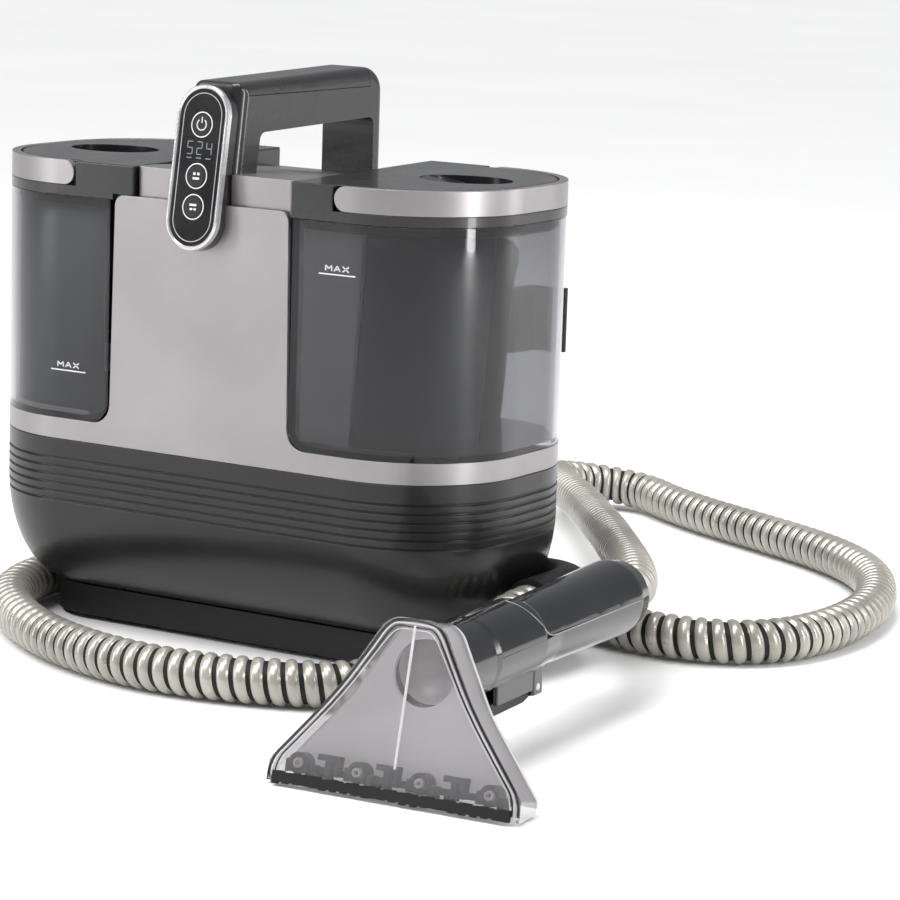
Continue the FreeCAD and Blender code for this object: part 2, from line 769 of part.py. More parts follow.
def lid(name, turn):
    """A tank lid; the second lid is the same moulding turned half round."""
    placement = Placement(Vector(), Rotation(Z_AXIS, turn))
    outer = new_body(f"{name}_outer")
    deep = Cells.half_depth
    far = Cells.lid_side_far
    near = Cells.lid_side_near
    flange = [(far, -deep, 1)] + plan(0, near)[1:3] + [(near, deep, 1)]
    pad(outer, outline(outer, "XY_Plane", flange, "lid_bottom"), "lid_flange_top - lid_bottom")
    step = Cells.bail_pivot - Cells.bail_height / 2 - 1.2
    inset = Cells.lid_inset
    crown = [
        (far, -deep, 1),
        (step, -deep, 0.8),
        (step, -deep + inset, 0),
        (Cells.half_width - inset, -deep + inset, Cells.corner_radius - inset),
        (Cells.half_width - inset, deep - inset, Cells.corner_radius - inset),
        (step, deep - inset, 0),
        (step, deep, 0.8),
        (near, deep, 1),
    ]
    pad(outer, outline(outer, "XY_Plane", crown, "lid_flange_top - 0.5"), "lid_top - lid_flange_top + 0.5")
    dress(outer, "Fillet", 0.9, lambda edge: edge_lies(edge, "Z", Cells.lid_top))
    skirt_inset = 5.5
    skirt_back = Cells.half_depth - 8.8
    skirt = [
        (68.5, -skirt_back, 3),
        (Cells.half_width - skirt_inset, -skirt_back, 59.5),
        (Cells.half_width - skirt_inset, skirt_back, 59.5),
        (68.5, skirt_back, 3),
    ]
    pad(outer, outline(outer, "XY_Plane", skirt, 249), "lid_bottom - 248")
    pin_holes = circles(outer, "XZ_Plane", [(Cells.bail_pivot, Cells.bail_level)], "bail_pin_radius + 0.05", "half_depth")
    pocket(outer, pin_holes, "lid_inset + 2.6")
    pin_holes = circles(outer, "XZ_Plane", [(Cells.bail_pivot, Cells.bail_level)], "bail_pin_radius + 0.05", "-half_depth")
    pocket(outer, pin_holes, "lid_inset + 2.6", True)
    front, behind = deep + 1, deep - 3.2
    notch = [(near - 2, front, 0), (near - 2, behind, 0), (far + 0.4, behind, 0), (far + 0.4, front, 0)]
    pocket(outer, outline(outer, "XY_Plane", notch, "fascia_top + 0.5"), "fascia_top - lid_bottom + 2")
    inner = new_body(f"{name}_inner")
    hollow = []
    for x, y, radius in skirt:
        hollow.append((x + math.copysign(2, 100 - x), math.copysign(abs(y) - 2, y), max(1, radius - 2)))
    pad(inner, outline(inner, "XY_Plane", hollow, 248), "lid_top - 248 - 2.4")
    space = cut(f"{name}_space", inner, lid_recess(f"{name}_recess_shell", 2.4))
    shell = cut(f"{name}_shell", outer, space)
    result = cut(name, shell, lid_recess(f"{name}_recess", 0))
    result.Placement = placement
    finished(result, name)
    seal = new_body(f"{name}_seal")
    lip = [
        (67, -skirt_back - 1.5, 3),
        (Cells.half_width - skirt_inset + 1.5, -skirt_back - 1.5, 61),
        (Cells.half_width - skirt_inset + 1.5, skirt_back + 1.5, 61),
        (67, skirt_back + 1.5, 3),
    ]
    ring = outline(seal, "XY_Plane", lip, 250.5)
    for edge in rounded_polygon(skirt):
        ring.addGeometry(edge)
    pad(seal, ring, 3.5)
    seal.Placement = placement
    finished(seal, f"{name}_seal")


def bail(name, turn):
    """The U-shaped carrying band that lies round a lid and pivots at its two ends."""
    body = new_body(name, Placement(Vector(), Rotation(Z_AXIS, turn)))
    end = Cells.bail_pivot - Cells.bail_height / 2
    deep = Cells.half_depth
    wide = Cells.half_width
    radius = Cells.corner_radius
    thick = Cells.bail_thickness
    band = [
        (end, -deep, 0),
        (wide, -deep, radius),
        (wide, deep, radius),
        (end, deep, 0),
        (end, deep - thick, 0),
        (wide - thick, deep - thick, radius - thick),
        (wide - thick, -deep + thick, radius - thick),
        (end, -deep + thick, 0),
    ]
    pad(body, outline(body, "XY_Plane", band, "bail_level - bail_height / 2"), "bail_height")
    middle = Cells.bail_level
    half = Cells.bail_height / 2
    for way in (1, -1):
        waste = [
            (end - 2, middle, 0),
            (end, middle, 0),
            (end, middle + way * half, half),
            (end + half, middle + way * half, 0),
            (end + half, middle + way * (half + 2), 0),
            (end - 2, middle + way * (half + 2), 0),
        ]
        pocket(body, outline(body, "XZ_Plane", waste), "half_depth * 3", both_ways=True)
    pin_place = [(Cells.bail_pivot, middle)]
    pin_length = "lid_inset + 1.4"
    pad(body, circles(body, "XZ_Plane", pin_place, "bail_pin_radius", "half_depth - 1"), pin_length, True)
    pad(body, circles(body, "XZ_Plane", pin_place, "bail_pin_radius", "1 - half_depth"), pin_length)
    finished(body, name)


# ---------------------------------------------------------------- top and handle
def centre_top_cover():
    body = new_body("centre_top_cover")
    gap = 0.7
    slant = (Cells.lid_side_far - Cells.lid_side_near) / (2 * Cells.half_depth)
    depth = 80
    middle = (Cells.lid_side_far + Cells.lid_side_near) / 2 - gap
    corners = [
        (middle + slant * depth, -depth, 2),
        (middle - slant * depth, depth, 2),
        (-middle - slant * depth, depth, 2),
        (-middle + slant * depth, -depth, 2),
    ]
    pad(body, outline(body, "XY_Plane", corners, "core_top + clearance"), "lid_top - core_top - clearance")
    slope = [(-82, 276.2, 0), (-60, 275.6, 60), (0, 272, 120), (60, 266.4, 60), (82, 265, 0)]
    slope += [(82, 280, 0), (-82, 280, 0)]
    pocket(body, outline(body, "YZ_Plane", slope), "half_width", both_ways=True)
    half = Cells.handle_half_width + Cells.clearance
    front_leg = [(-half, -82, 0), (half, -82, 0), (half, -55.6, 1), (-half, -55.6, 1)]
    rear_leg = [(-half, 64.6, 1), (half, 64.6, 1), (half, 77.4, 1), (-half, 77.4, 1)]
    pocket(body, outline(body, "XY_Plane", front_leg, "lid_top + 2"), 40)
    pocket(body, outline(body, "XY_Plane", rear_leg, "lid_top + 2"), 40)
    dish = body.newObject("PartDesign::SubtractiveEllipsoid", "dish")
    bind(dish, "Radius1", 2.6)
    bind(dish, "Radius2", 27)
    bind(dish, "Radius3", 24)
    dish.Placement = Placement(Vector(4, 3, 272), Rotation(X_AXIS, -3))
    body.Tip = dish
    finished(body, "centre_top_cover")


def handle_blank(name):
    body = new_body(name)
    foot = Cells.core_top + Cells.clearance
    profile = [
        (-80.5, foot, 0),
        (-70.5, 326.5, 3),
        (77, 330.4, 15),
        (77, foot, 0),
        (65, foot, 0),
        (65, 301, 5),
        (-52, 298, 5),
        (-59, foot, 0),
    ]
    pad(body, outline(body, "YZ_Plane", profile), "handle_half_width * 2", both_ways=True)

    def outer_edge(edge):
        side = edge_lies(edge, "X", Cells.handle_half_width) or edge_lies(edge, "X", -Cells.handle_half_width)
        box = edge.BoundBox
        inner = box.YMin > -60 and box.YMax < 66 and box.ZMax < 310
        flat_foot = box.ZMax < foot + 1
        return side and not inner and not flat_foot

    dress(body, "Fillet", "handle_round", outer_edge)
    return body


def handle():
    frame = handle_blank("handle_frame")
    seam = Cells.handle_seam
    top = [(-64.3, seam, 0), (60.3, seam, 0), (60.3, 340, 0), (-64.3, 340, 0)]
    pocket(frame, outline(frame, "YZ_Plane", top), "half_depth", both_ways=True)
    channel = [(-9, -52, 3), (9, -52, 3), (9, 50, 3), (-9, 50, 3)]
    pocket(frame, outline(frame, "XY_Plane", channel, "handle_seam"), 11)
    finished(frame, "handle_frame")
    cover = handle_blank("handle_top_cover")
    below = [(-90, 240, 0), (90, 240, 0), (90, 340, 0), (60, 340, 0), (60, seam + 0.3, 0), (-64, seam + 0.3, 0)]
    below += [(-64, 340, 0), (-90, 340, 0)]
    pocket(cover, outline(cover, "YZ_Plane", below), "half_depth", both_ways=True)
    finished(cover, "handle_top_cover")


# ---------------------------------------------------------------- control panel
CONTROL = Placement(Vector(0, Cells.control_front, Cells.control_level), Rotation(X_AXIS, -Cells.control_tilt))


def obround(inset=0):
    half = Cells.control_half_width - inset
    tall = Cells.control_half_height - inset
    radius = half - 0.02
    return [(-half, -tall, radius), (half, -tall, radius), (half, tall, radius), (-half, tall, radius)]


def control_layer(name, inset, front, depth):
    """A plate of the panel's outline in the panel's own frame: +Y runs into the panel."""
    body = new_body(name, CONTROL)
    pad(body, outline(body, "XZ_Plane", obround(inset), -front), depth, True)
    return body


def control_panel():
    rim = Cells.control_rim
    bezel = control_layer("control_bezel", 0, 0, 4)
    pocket(bezel, outline(bezel, "XZ_Plane", obround(rim), 1), 8)
    dress(bezel, "Chamfer", 0.7, lambda edge: edge_lies(edge, "Y", 0))
    bezel.Placement = CONTROL
    finished(bezel, "control_bezel")
    plate = control_layer("control_face", rim + 0.1, 1, 1.6)
    levels = [(0, Cells.power_level), (0, Cells.mode_level), (0, Cells.spray_level)]
    pocket(plate, circles(plate, "XZ_Plane", levels, "button_hole", 1), 8)
    low = Cells.display_level - 6.6
    high = Cells.display_level + 6.6
    window = [(-11.2, low, 1.2), (11.2, low, 1.2), (11.2, high, 1.2), (-11.2, high, 1.2)]
    pocket(plate, outline(plate, "XZ_Plane", window, 1), 8)
    finished(plate, "control_face")
    glass = new_body("display_window", CONTROL)
    low += 0.15
    high -= 0.15
    pane = [(-11, low, 1), (11, low, 1), (11, high, 1), (-11, high, 1)]
    pad(glass, outline(glass, "XZ_Plane", pane, -1.1), 1.5, True)
    finished(glass, "display_window")
    housing = control_layer("control_housing", 0.4, 4.1, 6.4)
    pocket(housing, outline(housing, "XZ_Plane", obround(3), -4), 1.7)
    inverse = CONTROL.inverse()
    edge_points = [(-84.4, 200), (-84.4, 259.3), (-40, 259.3), (-40, 200)]
    room = []
    for along, level in edge_points:
        local = inverse.multVec(Vector(0, along, level))
        room.append((local.y, local.z, 0))
    pocket(housing, outline(housing, "YZ_Plane", room), "half_depth", both_ways=True)
    finished(housing, "control_housing")
    board = control_layer("control_pcb", 3.4, 4.25, 1.2)
    finished(board, "control_pcb")
    for name, (_, level) in zip(("power_button", "mode_button", "spray_button"), levels):
        button = new_body(name, CONTROL)
        pad(button, circles(button, "XZ_Plane", [(0, level)], "button_radius", -0.7), "button_length", True)
        finished(button, name)


# ---------------------------------------------------------------- hand tool
TOOL = Placement(Vector(Cells.tool_across, Cells.tool_along, 0), Rotation(Z_AXIS, Cells.tool_turn))
NOZZLE = TOOL.multiply(Placement(Vector(), Rotation(X_AXIS, -Cells.nozzle_lean)))
TRIGGER_PIVOT = (136, 33)


def nozzle_outline(inset, foot):
    half = Cells.nozzle_width / 2 - inset
    top = Cells.nozzle_height - inset
    crown = 15 - inset * 0.6
    waist = (39 - inset * 0.8, 50 - inset * 0.3, 90)
    right = [(half, foot, 0), (half, 12, 5), waist, (crown, top, 14 - inset)]
    left = [(-x, level, radius) for x, level, radius in reversed(right)]
    return right + left


def nozzle_cover():
    body = new_body("nozzle_cover", NOZZLE)
    pad(body, outline(body, "XZ_Plane", nozzle_outline(0, 1.5)), "nozzle_depth", True)
    inside = outline(body, "XZ_Plane", nozzle_outline(Cells.nozzle_wall, -3), "-nozzle_depth - 1")
    pocket(body, inside, "nozzle_depth + 1 - nozzle_wall", True)
    # The leaning lip is cut level so that its rear edge stands just clear of the floor.
    lean = math.radians(Cells.nozzle_lean)
    reach = Cells.nozzle_depth + 4
    under = [(d, (0.3 + d * math.sin(lean)) / math.cos(lean), 0) for d in (-6, reach)]
    under += [(reach, -12, 0), (-6, -12, 0)]
    pocket(body, outline(body, "YZ_Plane", under), "nozzle_width * 2", both_ways=True)
    finished(body, "nozzle_cover")


def nozzle_back():
    body = new_body("nozzle_back", NOZZLE)
    pad(body, outline(body, "XZ_Plane", nozzle_outline(0, 9), "-nozzle_depth - 0.2"), "nozzle_wall", True)
    lean = math.radians(Cells.nozzle_lean)
    rise = (Cells.grip_level + 18 * math.sin(lean)) / math.cos(lean)
    pocket(body, circles(body, "XZ_Plane", [(0, rise)], "neck_radius - 4"), "nozzle_depth * 2")
    finished(body, "nozzle_back")


def nozzle_neck():
    body = new_body("nozzle_neck", TOOL)
    bore = Cells.neck_radius - 4
    tube = [
        (16, bore, 0),
        (16, Cells.neck_radius - 0.4, 0),
        (Cells.neck_end - 5, Cells.neck_radius - 0.4, 3),
        (Cells.neck_end, Cells.neck_radius, 0),
        (Cells.neck_end, bore, 0),
    ]
    turned(body, tube, "grip_level")
    lean = math.radians(Cells.nozzle_lean)
    behind = Cells.nozzle_depth + Cells.nozzle_wall + 0.4
    waste = []
    for rise in (8, 120):
        along = behind * math.cos(lean) + rise * math.sin(lean)
        level = rise * math.cos(lean) - behind * math.sin(lean)
        waste.append((along, level, 0))
    waste += [(0, 120, 0), (0, 0, 0)]
    pocket(body, outline(body, "YZ_Plane", waste), "half_depth", both_ways=True)
    finished(body, "nozzle_neck")


def squeegee():
    body = new_body("squeegee", NOZZLE)
    pad(body, outline(body, "XZ_Plane", [(-66, 0.2, 1), (66, 0.2, 1), (66, 9, 1.5), (-66, 9, 1.5)], 0.2), 3.2)
    finished(body, "squeegee")


def spray_bar():
    pieces = []
    bar = block("bar", 108, 5, 6, Vector(-54, 6, 14))
    pieces.append(bar)
    for number in range(5):
        across = -46 + 23 * number
        pieces.append(cylinder("bar_boss", 4, 11, Vector(across, 3.4, 17), Y_AXIS))
        pieces.append(block("bar_clip", 9, 5, 7, Vector(across + 7, 8, 11)))
    bar_body = joined("spray_parts", pieces)
    bar_body.Placement = NOZZLE
    finished(bar_body, "spray_bar")


def grip_shell(name, start, outer):
    """One moulded shell of the grip, before the part beyond the seam is cut away."""
    body = new_body(name, TOOL)
    profile = [(start, Cells.grip_bore, 0)] + outer + [(outer[-1][0], Cells.grip_bore, 0)]
    turned(body, profile, "grip_level")
    return body


def grip():
    seam = Cells.grip_level + 2
    start = Cells.neck_end + 0.3
    collar_end = Cells.collar_end
    end = Cells.grip_end
    flare = [(end - 12, 21.3, 20), (end, 19.4, 0)]
    above = [(start - 5, seam, 0), (end + 5, seam, 0), (end + 5, 100, 0), (start - 5, 100, 0)]
    sleeve = [(start, 20.7, 0), (collar_end, 20.7, 30), (148, 19.2, 60)]
    lower = grip_shell("grip_lower", start, sleeve + flare)
    pocket(lower, outline(lower, "YZ_Plane", above), "half_depth", both_ways=True)
    for side in (1, -1):
        cheek = [(side * 12, 130, 2), (side * 9, 130, 1), (side * 9, 142, 1), (side * 12, 142, 2)]
        pad(lower, outline(lower, "XY_Plane", cheek, 29), 18)
        skirt = [(side * 11.5, 90, 1), (side * 9, 90, 1), (side * 9, 131, 0.5), (side * 11.5, 131, 0.5)]
        pad(lower, outline(lower, "XY_Plane", skirt, 32), 15)
    pocket(lower, circles(lower, "YZ_Plane", [TRIGGER_PIVOT], 2.05), 60, both_ways=True)
    finished(lower, "grip_lower")
    below = [(start - 5, 20, 0), (end + 5, 20, 0), (end + 5, seam + 0.3, 0), (start - 5, seam + 0.3, 0)]
    ring = [(start, 20.9, 0), (collar_end - 3, 21.4, 1), (collar_end, 20.6, 0.8)]
    collar = grip_shell("grip_collar", start, ring)
    pocket(collar, outline(collar, "YZ_Plane", below), "half_depth", both_ways=True)
    finished(collar, "grip_collar")
    upper = grip_shell("grip_upper", collar_end + 0.3, [(collar_end + 0.3, 18.2, 0), (148, 18.9, 60)] + flare)
    pocket(upper, outline(upper, "YZ_Plane", below), "half_depth", both_ways=True)
    finished(upper, "grip_upper")


def trigger():
    body = new_body("trigger", TOOL)
    lever = [(88, 25.5, 4), (88, 32.5, 2), (130, 37, 4), (140, 37, 3), (140, 30, 3), (126, 26, 12)]
    pad(body, outline(body, "YZ_Plane", lever), 16.6, both_ways=True)
    pocket(body, circles(body, "YZ_Plane", [TRIGGER_PIVOT], 2.05), 60, both_ways=True)
    finished(body, "trigger")
    pin_body = new_body("trigger_pin", TOOL)
    pad(pin_body, circles(pin_body, "YZ_Plane", [TRIGGER_PIVOT], 2), 24, both_ways=True)
    finished(pin_body, "trigger_pin")


def spray_valve():
    barrel = cylinder("valve_barrel", 4.5, 36, Vector(0, 146, 51), Y_AXIS)
    cap = cylinder("valve_cap", 3, 10, Vector(0, 137, 51), Y_AXIS)
    tail = cylinder("valve_tail", 2, 44, Vector(0, 182, 51), Y_AXIS)
    valve = joined("valve", [barrel, cap, tail])
    valve.Placement = TOOL
    finished(valve, "spray_valve")


# ---------------------------------------------------------------- hose
CUFF_END = -10


def hose_cuffs():
    radius = Cells.hose_diameter / 2
    start = Vector(PORT_ACROSS, 13.7, Cells.port_level)
    collar = cylinder("cuff_collar", "port_radius", start.y - CUFF_END, start, -Y_AXIS)
    spigot = cylinder("cuff_spigot", 13.2, 20, start + Y_AXIS * 14, -Y_AXIS)
    bore = cylinder("cuff_bore", 11, 60, start + Y_AXIS * 20, -Y_AXIS)
    finished(cut("cuff", joined("cuff_body", [collar, spigot]), bore), "hose_cuff_machine")
    level = Cells.grip_level
    flange = cylinder("sleeve_flange", radius + 3.6, 4.7, Vector(0, Cells.grip_end + 0.3, level), Y_AXIS)
    sleeve = cylinder("sleeve", radius + 1.8, 26, Vector(0, Cells.grip_end - 24, level), Y_AXIS)
    hole = cylinder("sleeve_bore", 11, 60, Vector(0, Cells.grip_end - 30, level), Y_AXIS)
    end = cut("sleeve_cut", joined("sleeve_body", [flange, sleeve]), hole)
    end.Placement = TOOL
    finished(end, "hose_cuff_tool")


# Centre line of the hose from the machine's cuff to the tool's, on the floor for most of it.
LOW = 13.2
HOSE_ROUTE = [
    (180, CUFF_END, 40),
    (180, -28, 40),
    (179, -52, 33),
    (173, -82, 21),
    (158, -112, LOW + 1),
    (139, -137, LOW),
    (117, -152, LOW),
    (91, -162, LOW),
    (63, -169, LOW),
    (33, -171.5, LOW),
    (-2, -167, LOW),
    (-41, -154.5, LOW),
    (-77, -135, LOW),
    (-110, -109, LOW),
    (-137, -80, LOW),
    (-155, -40, LOW),
    (-159, 5, LOW),
    (-151, 55, LOW),
    (-128, 100, LOW),
    (-88, 132, LOW),
    (-36, 152, LOW),
    (22, 160, LOW),
    (78, 150, LOW),
    (124, 126.5, LOW),
    (160, 98, LOW),
    (190, 83, LOW),
    (217, 79, LOW),
    (244, 83, LOW),
    (266, 95, LOW),
    (281, 117, LOW),
    (288, 148, LOW),
    (289, 182, LOW),
    (283, 224, LOW),
    (268, 268, LOW),
    (245, 309, LOW),
    (214, 342, LOW),
    (174, 369, LOW),
    (123, 394, LOW),
    (70, 419, LOW),
    (30, 443, LOW),
    (4, 462, 14),
    (-19, 464, 16),
    (-37, 453, 19),
    (-47, 434, 22.5),
    (-46, 413, 25.5),
    (-26, 383, 29),
    (9, 338, 33),
    (40, 299, 36),
    (69, 259, 39),
    (99, 216, 43),
    (130, 172, 47),
    (163, 123, 51),
    (192, 80, 54.5),
    (214, 46, 57.5),
    (230, 20, 59),
    (239.5, 2.5, 59),
]



def hose():
    points = [Vector(*point) for point in HOSE_ROUTE]
    for beyond in (18, 5):
        points.append(TOOL.multVec(Vector(0, Cells.grip_end + beyond, Cells.grip_level)))
    route, radii = rounded_route(points)
    radius = Cells.hose_diameter / 2
    tube = doc.addObject("Part::Feature", "hose")
    tube.Shape = swept(route, radius)
    volume = math.pi * radius**2 * route.Length
    print(f"hose length {route.Length:.0f} mm, volume / expected {tube.Shape.Volume / volume:.4f}")
    print("hose bend radii:", " ".join(f"{value:.0f}" for value in radii))
    finished(tube, "hose")


# ---------------------------------------------------------------- build
def build():
    base_plate()
    rubber_feet()
    base_screws()
    base_tub()
    front_fascia()
    tank_deck()
    core_housing()
    rear_cover()
    cord_hook("cord_hook_right", 1)
    cord_hook("cord_hook_left", -1)
    cord_gland()
    hose_port()
    fan_housing()
    impeller()
    vacuum_motor()
    water_pump()
    main_pcb()
    ducts()
    valve_seat()
    tank("clean_tank", 1, [(CLEAN_OUTLET, 8)])
    tank("dirty_tank", -1, [(DIRTY_INLET, 15.3), (DIRTY_OUTLET, 13.3)])
    clean_tank_valve()
    standpipe("dirty_inlet_pipe", DIRTY_INLET, 15, 238, 3)
    standpipe("dirty_air_pipe", DIRTY_OUTLET, 13, 246, 3)
    float_ring()
    lid("clean_lid", 0)
    lid("dirty_lid", 180)
    bail("clean_bail", 0)
    bail("dirty_bail", 180)
    centre_top_cover()
    handle()
    control_panel()
    nozzle_cover()
    nozzle_back()
    nozzle_neck()
    squeegee()
    spray_bar()
    grip()
    trigger()
    spray_valve()
    hose_cuffs()
    hose()
    doc.recompute()


def export():
    for thing in doc.Objects:
        if "Invalid" in thing.State or "Error" in thing.State:
            raise RuntimeError(f"{thing.Label} failed: {thing.State}")
    for node in nodes:
        if node.Shape.isNull() or not node.Shape.isValid():
            raise RuntimeError(f"{node.Label} has no valid shape")
    os.makedirs("parts", exist_ok=True)
    for node in nodes:
        node.Shape.exportStep(f"parts/{node.Label}.step")
    print(len(nodes), "nodes")


build()
export()
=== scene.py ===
import json
import math

import bmesh
import bpy
import numpy as np
from mathutils import Matrix, Vector


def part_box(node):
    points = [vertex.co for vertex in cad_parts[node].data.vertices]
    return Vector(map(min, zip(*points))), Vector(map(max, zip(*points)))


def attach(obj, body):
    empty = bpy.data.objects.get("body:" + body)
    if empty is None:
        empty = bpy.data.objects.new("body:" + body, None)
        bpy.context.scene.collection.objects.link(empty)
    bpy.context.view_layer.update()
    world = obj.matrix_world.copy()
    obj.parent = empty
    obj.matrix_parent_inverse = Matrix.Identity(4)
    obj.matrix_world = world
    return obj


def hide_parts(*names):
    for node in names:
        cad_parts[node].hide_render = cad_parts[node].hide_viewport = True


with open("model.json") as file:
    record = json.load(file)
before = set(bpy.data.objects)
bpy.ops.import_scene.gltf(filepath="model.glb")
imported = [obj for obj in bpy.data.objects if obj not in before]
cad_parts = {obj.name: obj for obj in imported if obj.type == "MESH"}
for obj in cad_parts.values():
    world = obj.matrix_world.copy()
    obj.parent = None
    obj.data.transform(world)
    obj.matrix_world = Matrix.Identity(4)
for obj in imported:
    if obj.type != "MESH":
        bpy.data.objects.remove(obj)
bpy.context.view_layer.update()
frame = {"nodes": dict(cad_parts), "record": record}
MM = 0.001

# ---------------------------------------------------------------- camera
AZIMUTH, ELEVATION, ROLL = (math.radians(a) for a in (31.31, 10.05, 1.85))
level_out = math.cos(ELEVATION)
back = Vector((math.sin(AZIMUTH) * level_out, -math.cos(AZIMUTH) * level_out, math.sin(ELEVATION)))
level_right = Vector((math.cos(AZIMUTH), math.sin(AZIMUTH), 0))
level_up = back.cross(level_right)
right = level_right * math.cos(ROLL) + level_up * math.sin(ROLL)
up = level_up * math.cos(ROLL) - level_right * math.sin(ROLL)
camera = bpy.data.objects.new("camera", bpy.data.cameras.new("camera"))
camera.data.sensor_width = 36
camera.data.lens = 139.78
camera.data.clip_start, camera.data.clip_end = 0.05, 60
turn = Matrix((right, up, back)).transposed().to_4x4()
camera.matrix_world = Matrix.Translation(Vector((1.13899, -1.67864, 0.46925))) @ turn
bpy.context.collection.objects.link(camera)
bpy.context.scene.camera = camera


# ---------------------------------------------------------------- materials
def material(name):
    made = bpy.data.materials.new(name)
    made.use_nodes = True
    tree = made.node_tree
    return made, tree, tree.nodes["Principled BSDF"]


def noise(tree, scale, detail=3.0, roughness=0.5, stretch=None):
    coordinates = tree.nodes.new("ShaderNodeTexCoord")
    source = coordinates.outputs["Object"]
    if stretch:
        mapping = tree.nodes.new("ShaderNodeMapping")
        mapping.inputs["Scale"].default_value = stretch
        tree.links.new(source, mapping.inputs["Vector"])
        source = mapping.outputs["Vector"]
    texture = tree.nodes.new("ShaderNodeTexNoise")
    texture.inputs["Scale"].default_value = scale
    texture.inputs["Detail"].default_value = detail
    texture.inputs["Roughness"].default_value = roughness
    tree.links.new(source, texture.inputs["Vector"])
    return texture.outputs["Fac"]


def ramp(tree, value, low, high, start=0.3, end=0.7):
    node = tree.nodes.new("ShaderNodeValToRGB")
    node.color_ramp.elements[0].position = start
    node.color_ramp.elements[1].position = end
    node.color_ramp.elements[0].color = (*low, 1)
    node.color_ramp.elements[1].color = (*high, 1)
    tree.links.new(value, node.inputs["Fac"])
    return node.outputs["Color"]


def spread(tree, value, low, high):
    node = tree.nodes.new("ShaderNodeMapRange")
    node.inputs["From Min"].default_value = 0.3
    node.inputs["From Max"].default_value = 0.7
    node.inputs["To Min"].default_value = low
    node.inputs["To Max"].default_value = high
    tree.links.new(value, node.inputs["Value"])
    return node.outputs["Result"]


def bump(tree, shader, height, strength, distance, bevel=0.0):
    node = tree.nodes.new("ShaderNodeBump")
    node.inputs["Strength"].default_value = strength
    node.inputs["Distance"].default_value = distance
    tree.links.new(height, node.inputs["Height"])
    if bevel:
        edge = tree.nodes.new("ShaderNodeBevel")
        edge.samples = 4
        edge.inputs["Radius"].default_value = bevel
        tree.links.new(edge.outputs["Normal"], node.inputs["Normal"])
    tree.links.new(node.outputs["Normal"], shader.inputs["Normal"])


def plastic(
    name, color, shade, rough, grain=900, depth=0.08, metallic=0.0, coat=0.0, bevel=0.0006, stretch=None,
    gloss=0.5,
):
    """Moulded or painted plastic: color and its lighter variation, a band of roughness and a fine grain."""
    made, tree, shader = material(name)
    soft = noise(tree, 14, 4)
    tree.links.new(ramp(tree, soft, color, shade), shader.inputs["Base Color"])
    tree.links.new(spread(tree, noise(tree, 45, 5), *rough), shader.inputs["Roughness"])
    shader.inputs["Metallic"].default_value = metallic
    shader.inputs["Specular IOR Level"].default_value = gloss
    shader.inputs["Coat Weight"].default_value = coat
    shader.inputs["Coat Roughness"].default_value = 0.06
    bump(tree, shader, noise(tree, grain, 2, stretch=stretch), depth, 0.0002, bevel)
    return made


def clear(name, color, rough, passes=1.0, coat=1.0, ior=1.18, ripple=0.06):
    """Clear coloured plastic: passes is the share of light that goes through it, and the rest is milky."""
    made, tree, shader = material(name)
    shader.inputs["Base Color"].default_value = (*color, 1)
    shader.inputs["Transmission Weight"].default_value = passes
    shader.inputs["IOR"].default_value = ior
    shader.inputs["Coat Weight"].default_value = coat
    shader.inputs["Coat Roughness"].default_value = 0.03
    tree.links.new(spread(tree, noise(tree, 30, 4), *rough), shader.inputs["Roughness"])
    bump(tree, shader, noise(tree, 9, 2), ripple, 0.002)
    return made


LOOKS = {
    "shell_black": plastic(
        "shell_black", (0.009, 0.009, 0.01), (0.015, 0.015, 0.017), (0.24, 0.32), depth=0.03, coat=0.4,
        gloss=0.45,
    ),
    "satin_black": plastic(
        "satin_black", (0.008, 0.008, 0.009), (0.014, 0.014, 0.016), (0.4, 0.5), depth=0.06, gloss=0.25,
    ),
    "silver_shell": plastic(
        "silver_shell", (0.29, 0.272, 0.278), (0.34, 0.32, 0.326), (0.3, 0.38), 2600, 0.05, 0.8,
    ),
    "tank_smoke": clear("tank_smoke", (0.38, 0.38, 0.405), (0.02, 0.04), coat=0.65),
    "nozzle_smoke": clear("nozzle_smoke", (0.795, 0.78, 0.79), (0.02, 0.05), 0.95),
    "hose_rings": plastic(
        "hose_rings", (0.27, 0.255, 0.22), (0.43, 0.41, 0.36), (0.24, 0.36), 500, 0.08, 0.35, 0.35,
    ),
    "rubber_black": plastic(
        "rubber_black", (0.006, 0.006, 0.006), (0.012, 0.012, 0.012), (0.55, 0.7), 700, 0.2, gloss=0.3,
    ),
    "steel": plastic(
        "steel", (0.5, 0.5, 0.5), (0.62, 0.62, 0.62), (0.25, 0.4), 800, 0.1, 1.0, stretch=(1, 1, 12),
    ),
    "board_green": plastic("board_green", (0.01, 0.09, 0.04), (0.02, 0.14, 0.06), (0.35, 0.5), 400, 0.2),
    "motor_metal": plastic("motor_metal", (0.45, 0.45, 0.46), (0.58, 0.58, 0.6), (0.35, 0.5), 600, 0.15, 1.0),
    "inner_grey": plastic("inner_grey", (0.03, 0.03, 0.034), (0.05, 0.05, 0.056), (0.35, 0.5), gloss=0.3),
    "inner_white": plastic("inner_white", (0.6, 0.6, 0.57), (0.7, 0.7, 0.67), (0.35, 0.5)),
    "panel_black": plastic(
        "panel_black", (0.006, 0.006, 0.007), (0.01, 0.01, 0.011), (0.12, 0.2), coat=0.3, gloss=0.3,
    ),
    "button_black": plastic(
        "button_black", (0.007, 0.007, 0.008), (0.012, 0.012, 0.013), (0.25, 0.35), gloss=0.3,
    ),
}
GRIP_GLOSS = plastic(
    "grip_gloss", (0.005, 0.0055, 0.006), (0.01, 0.0105, 0.012), (0.1, 0.16), depth=0.02, coat=0.45,
    gloss=0.45,
)
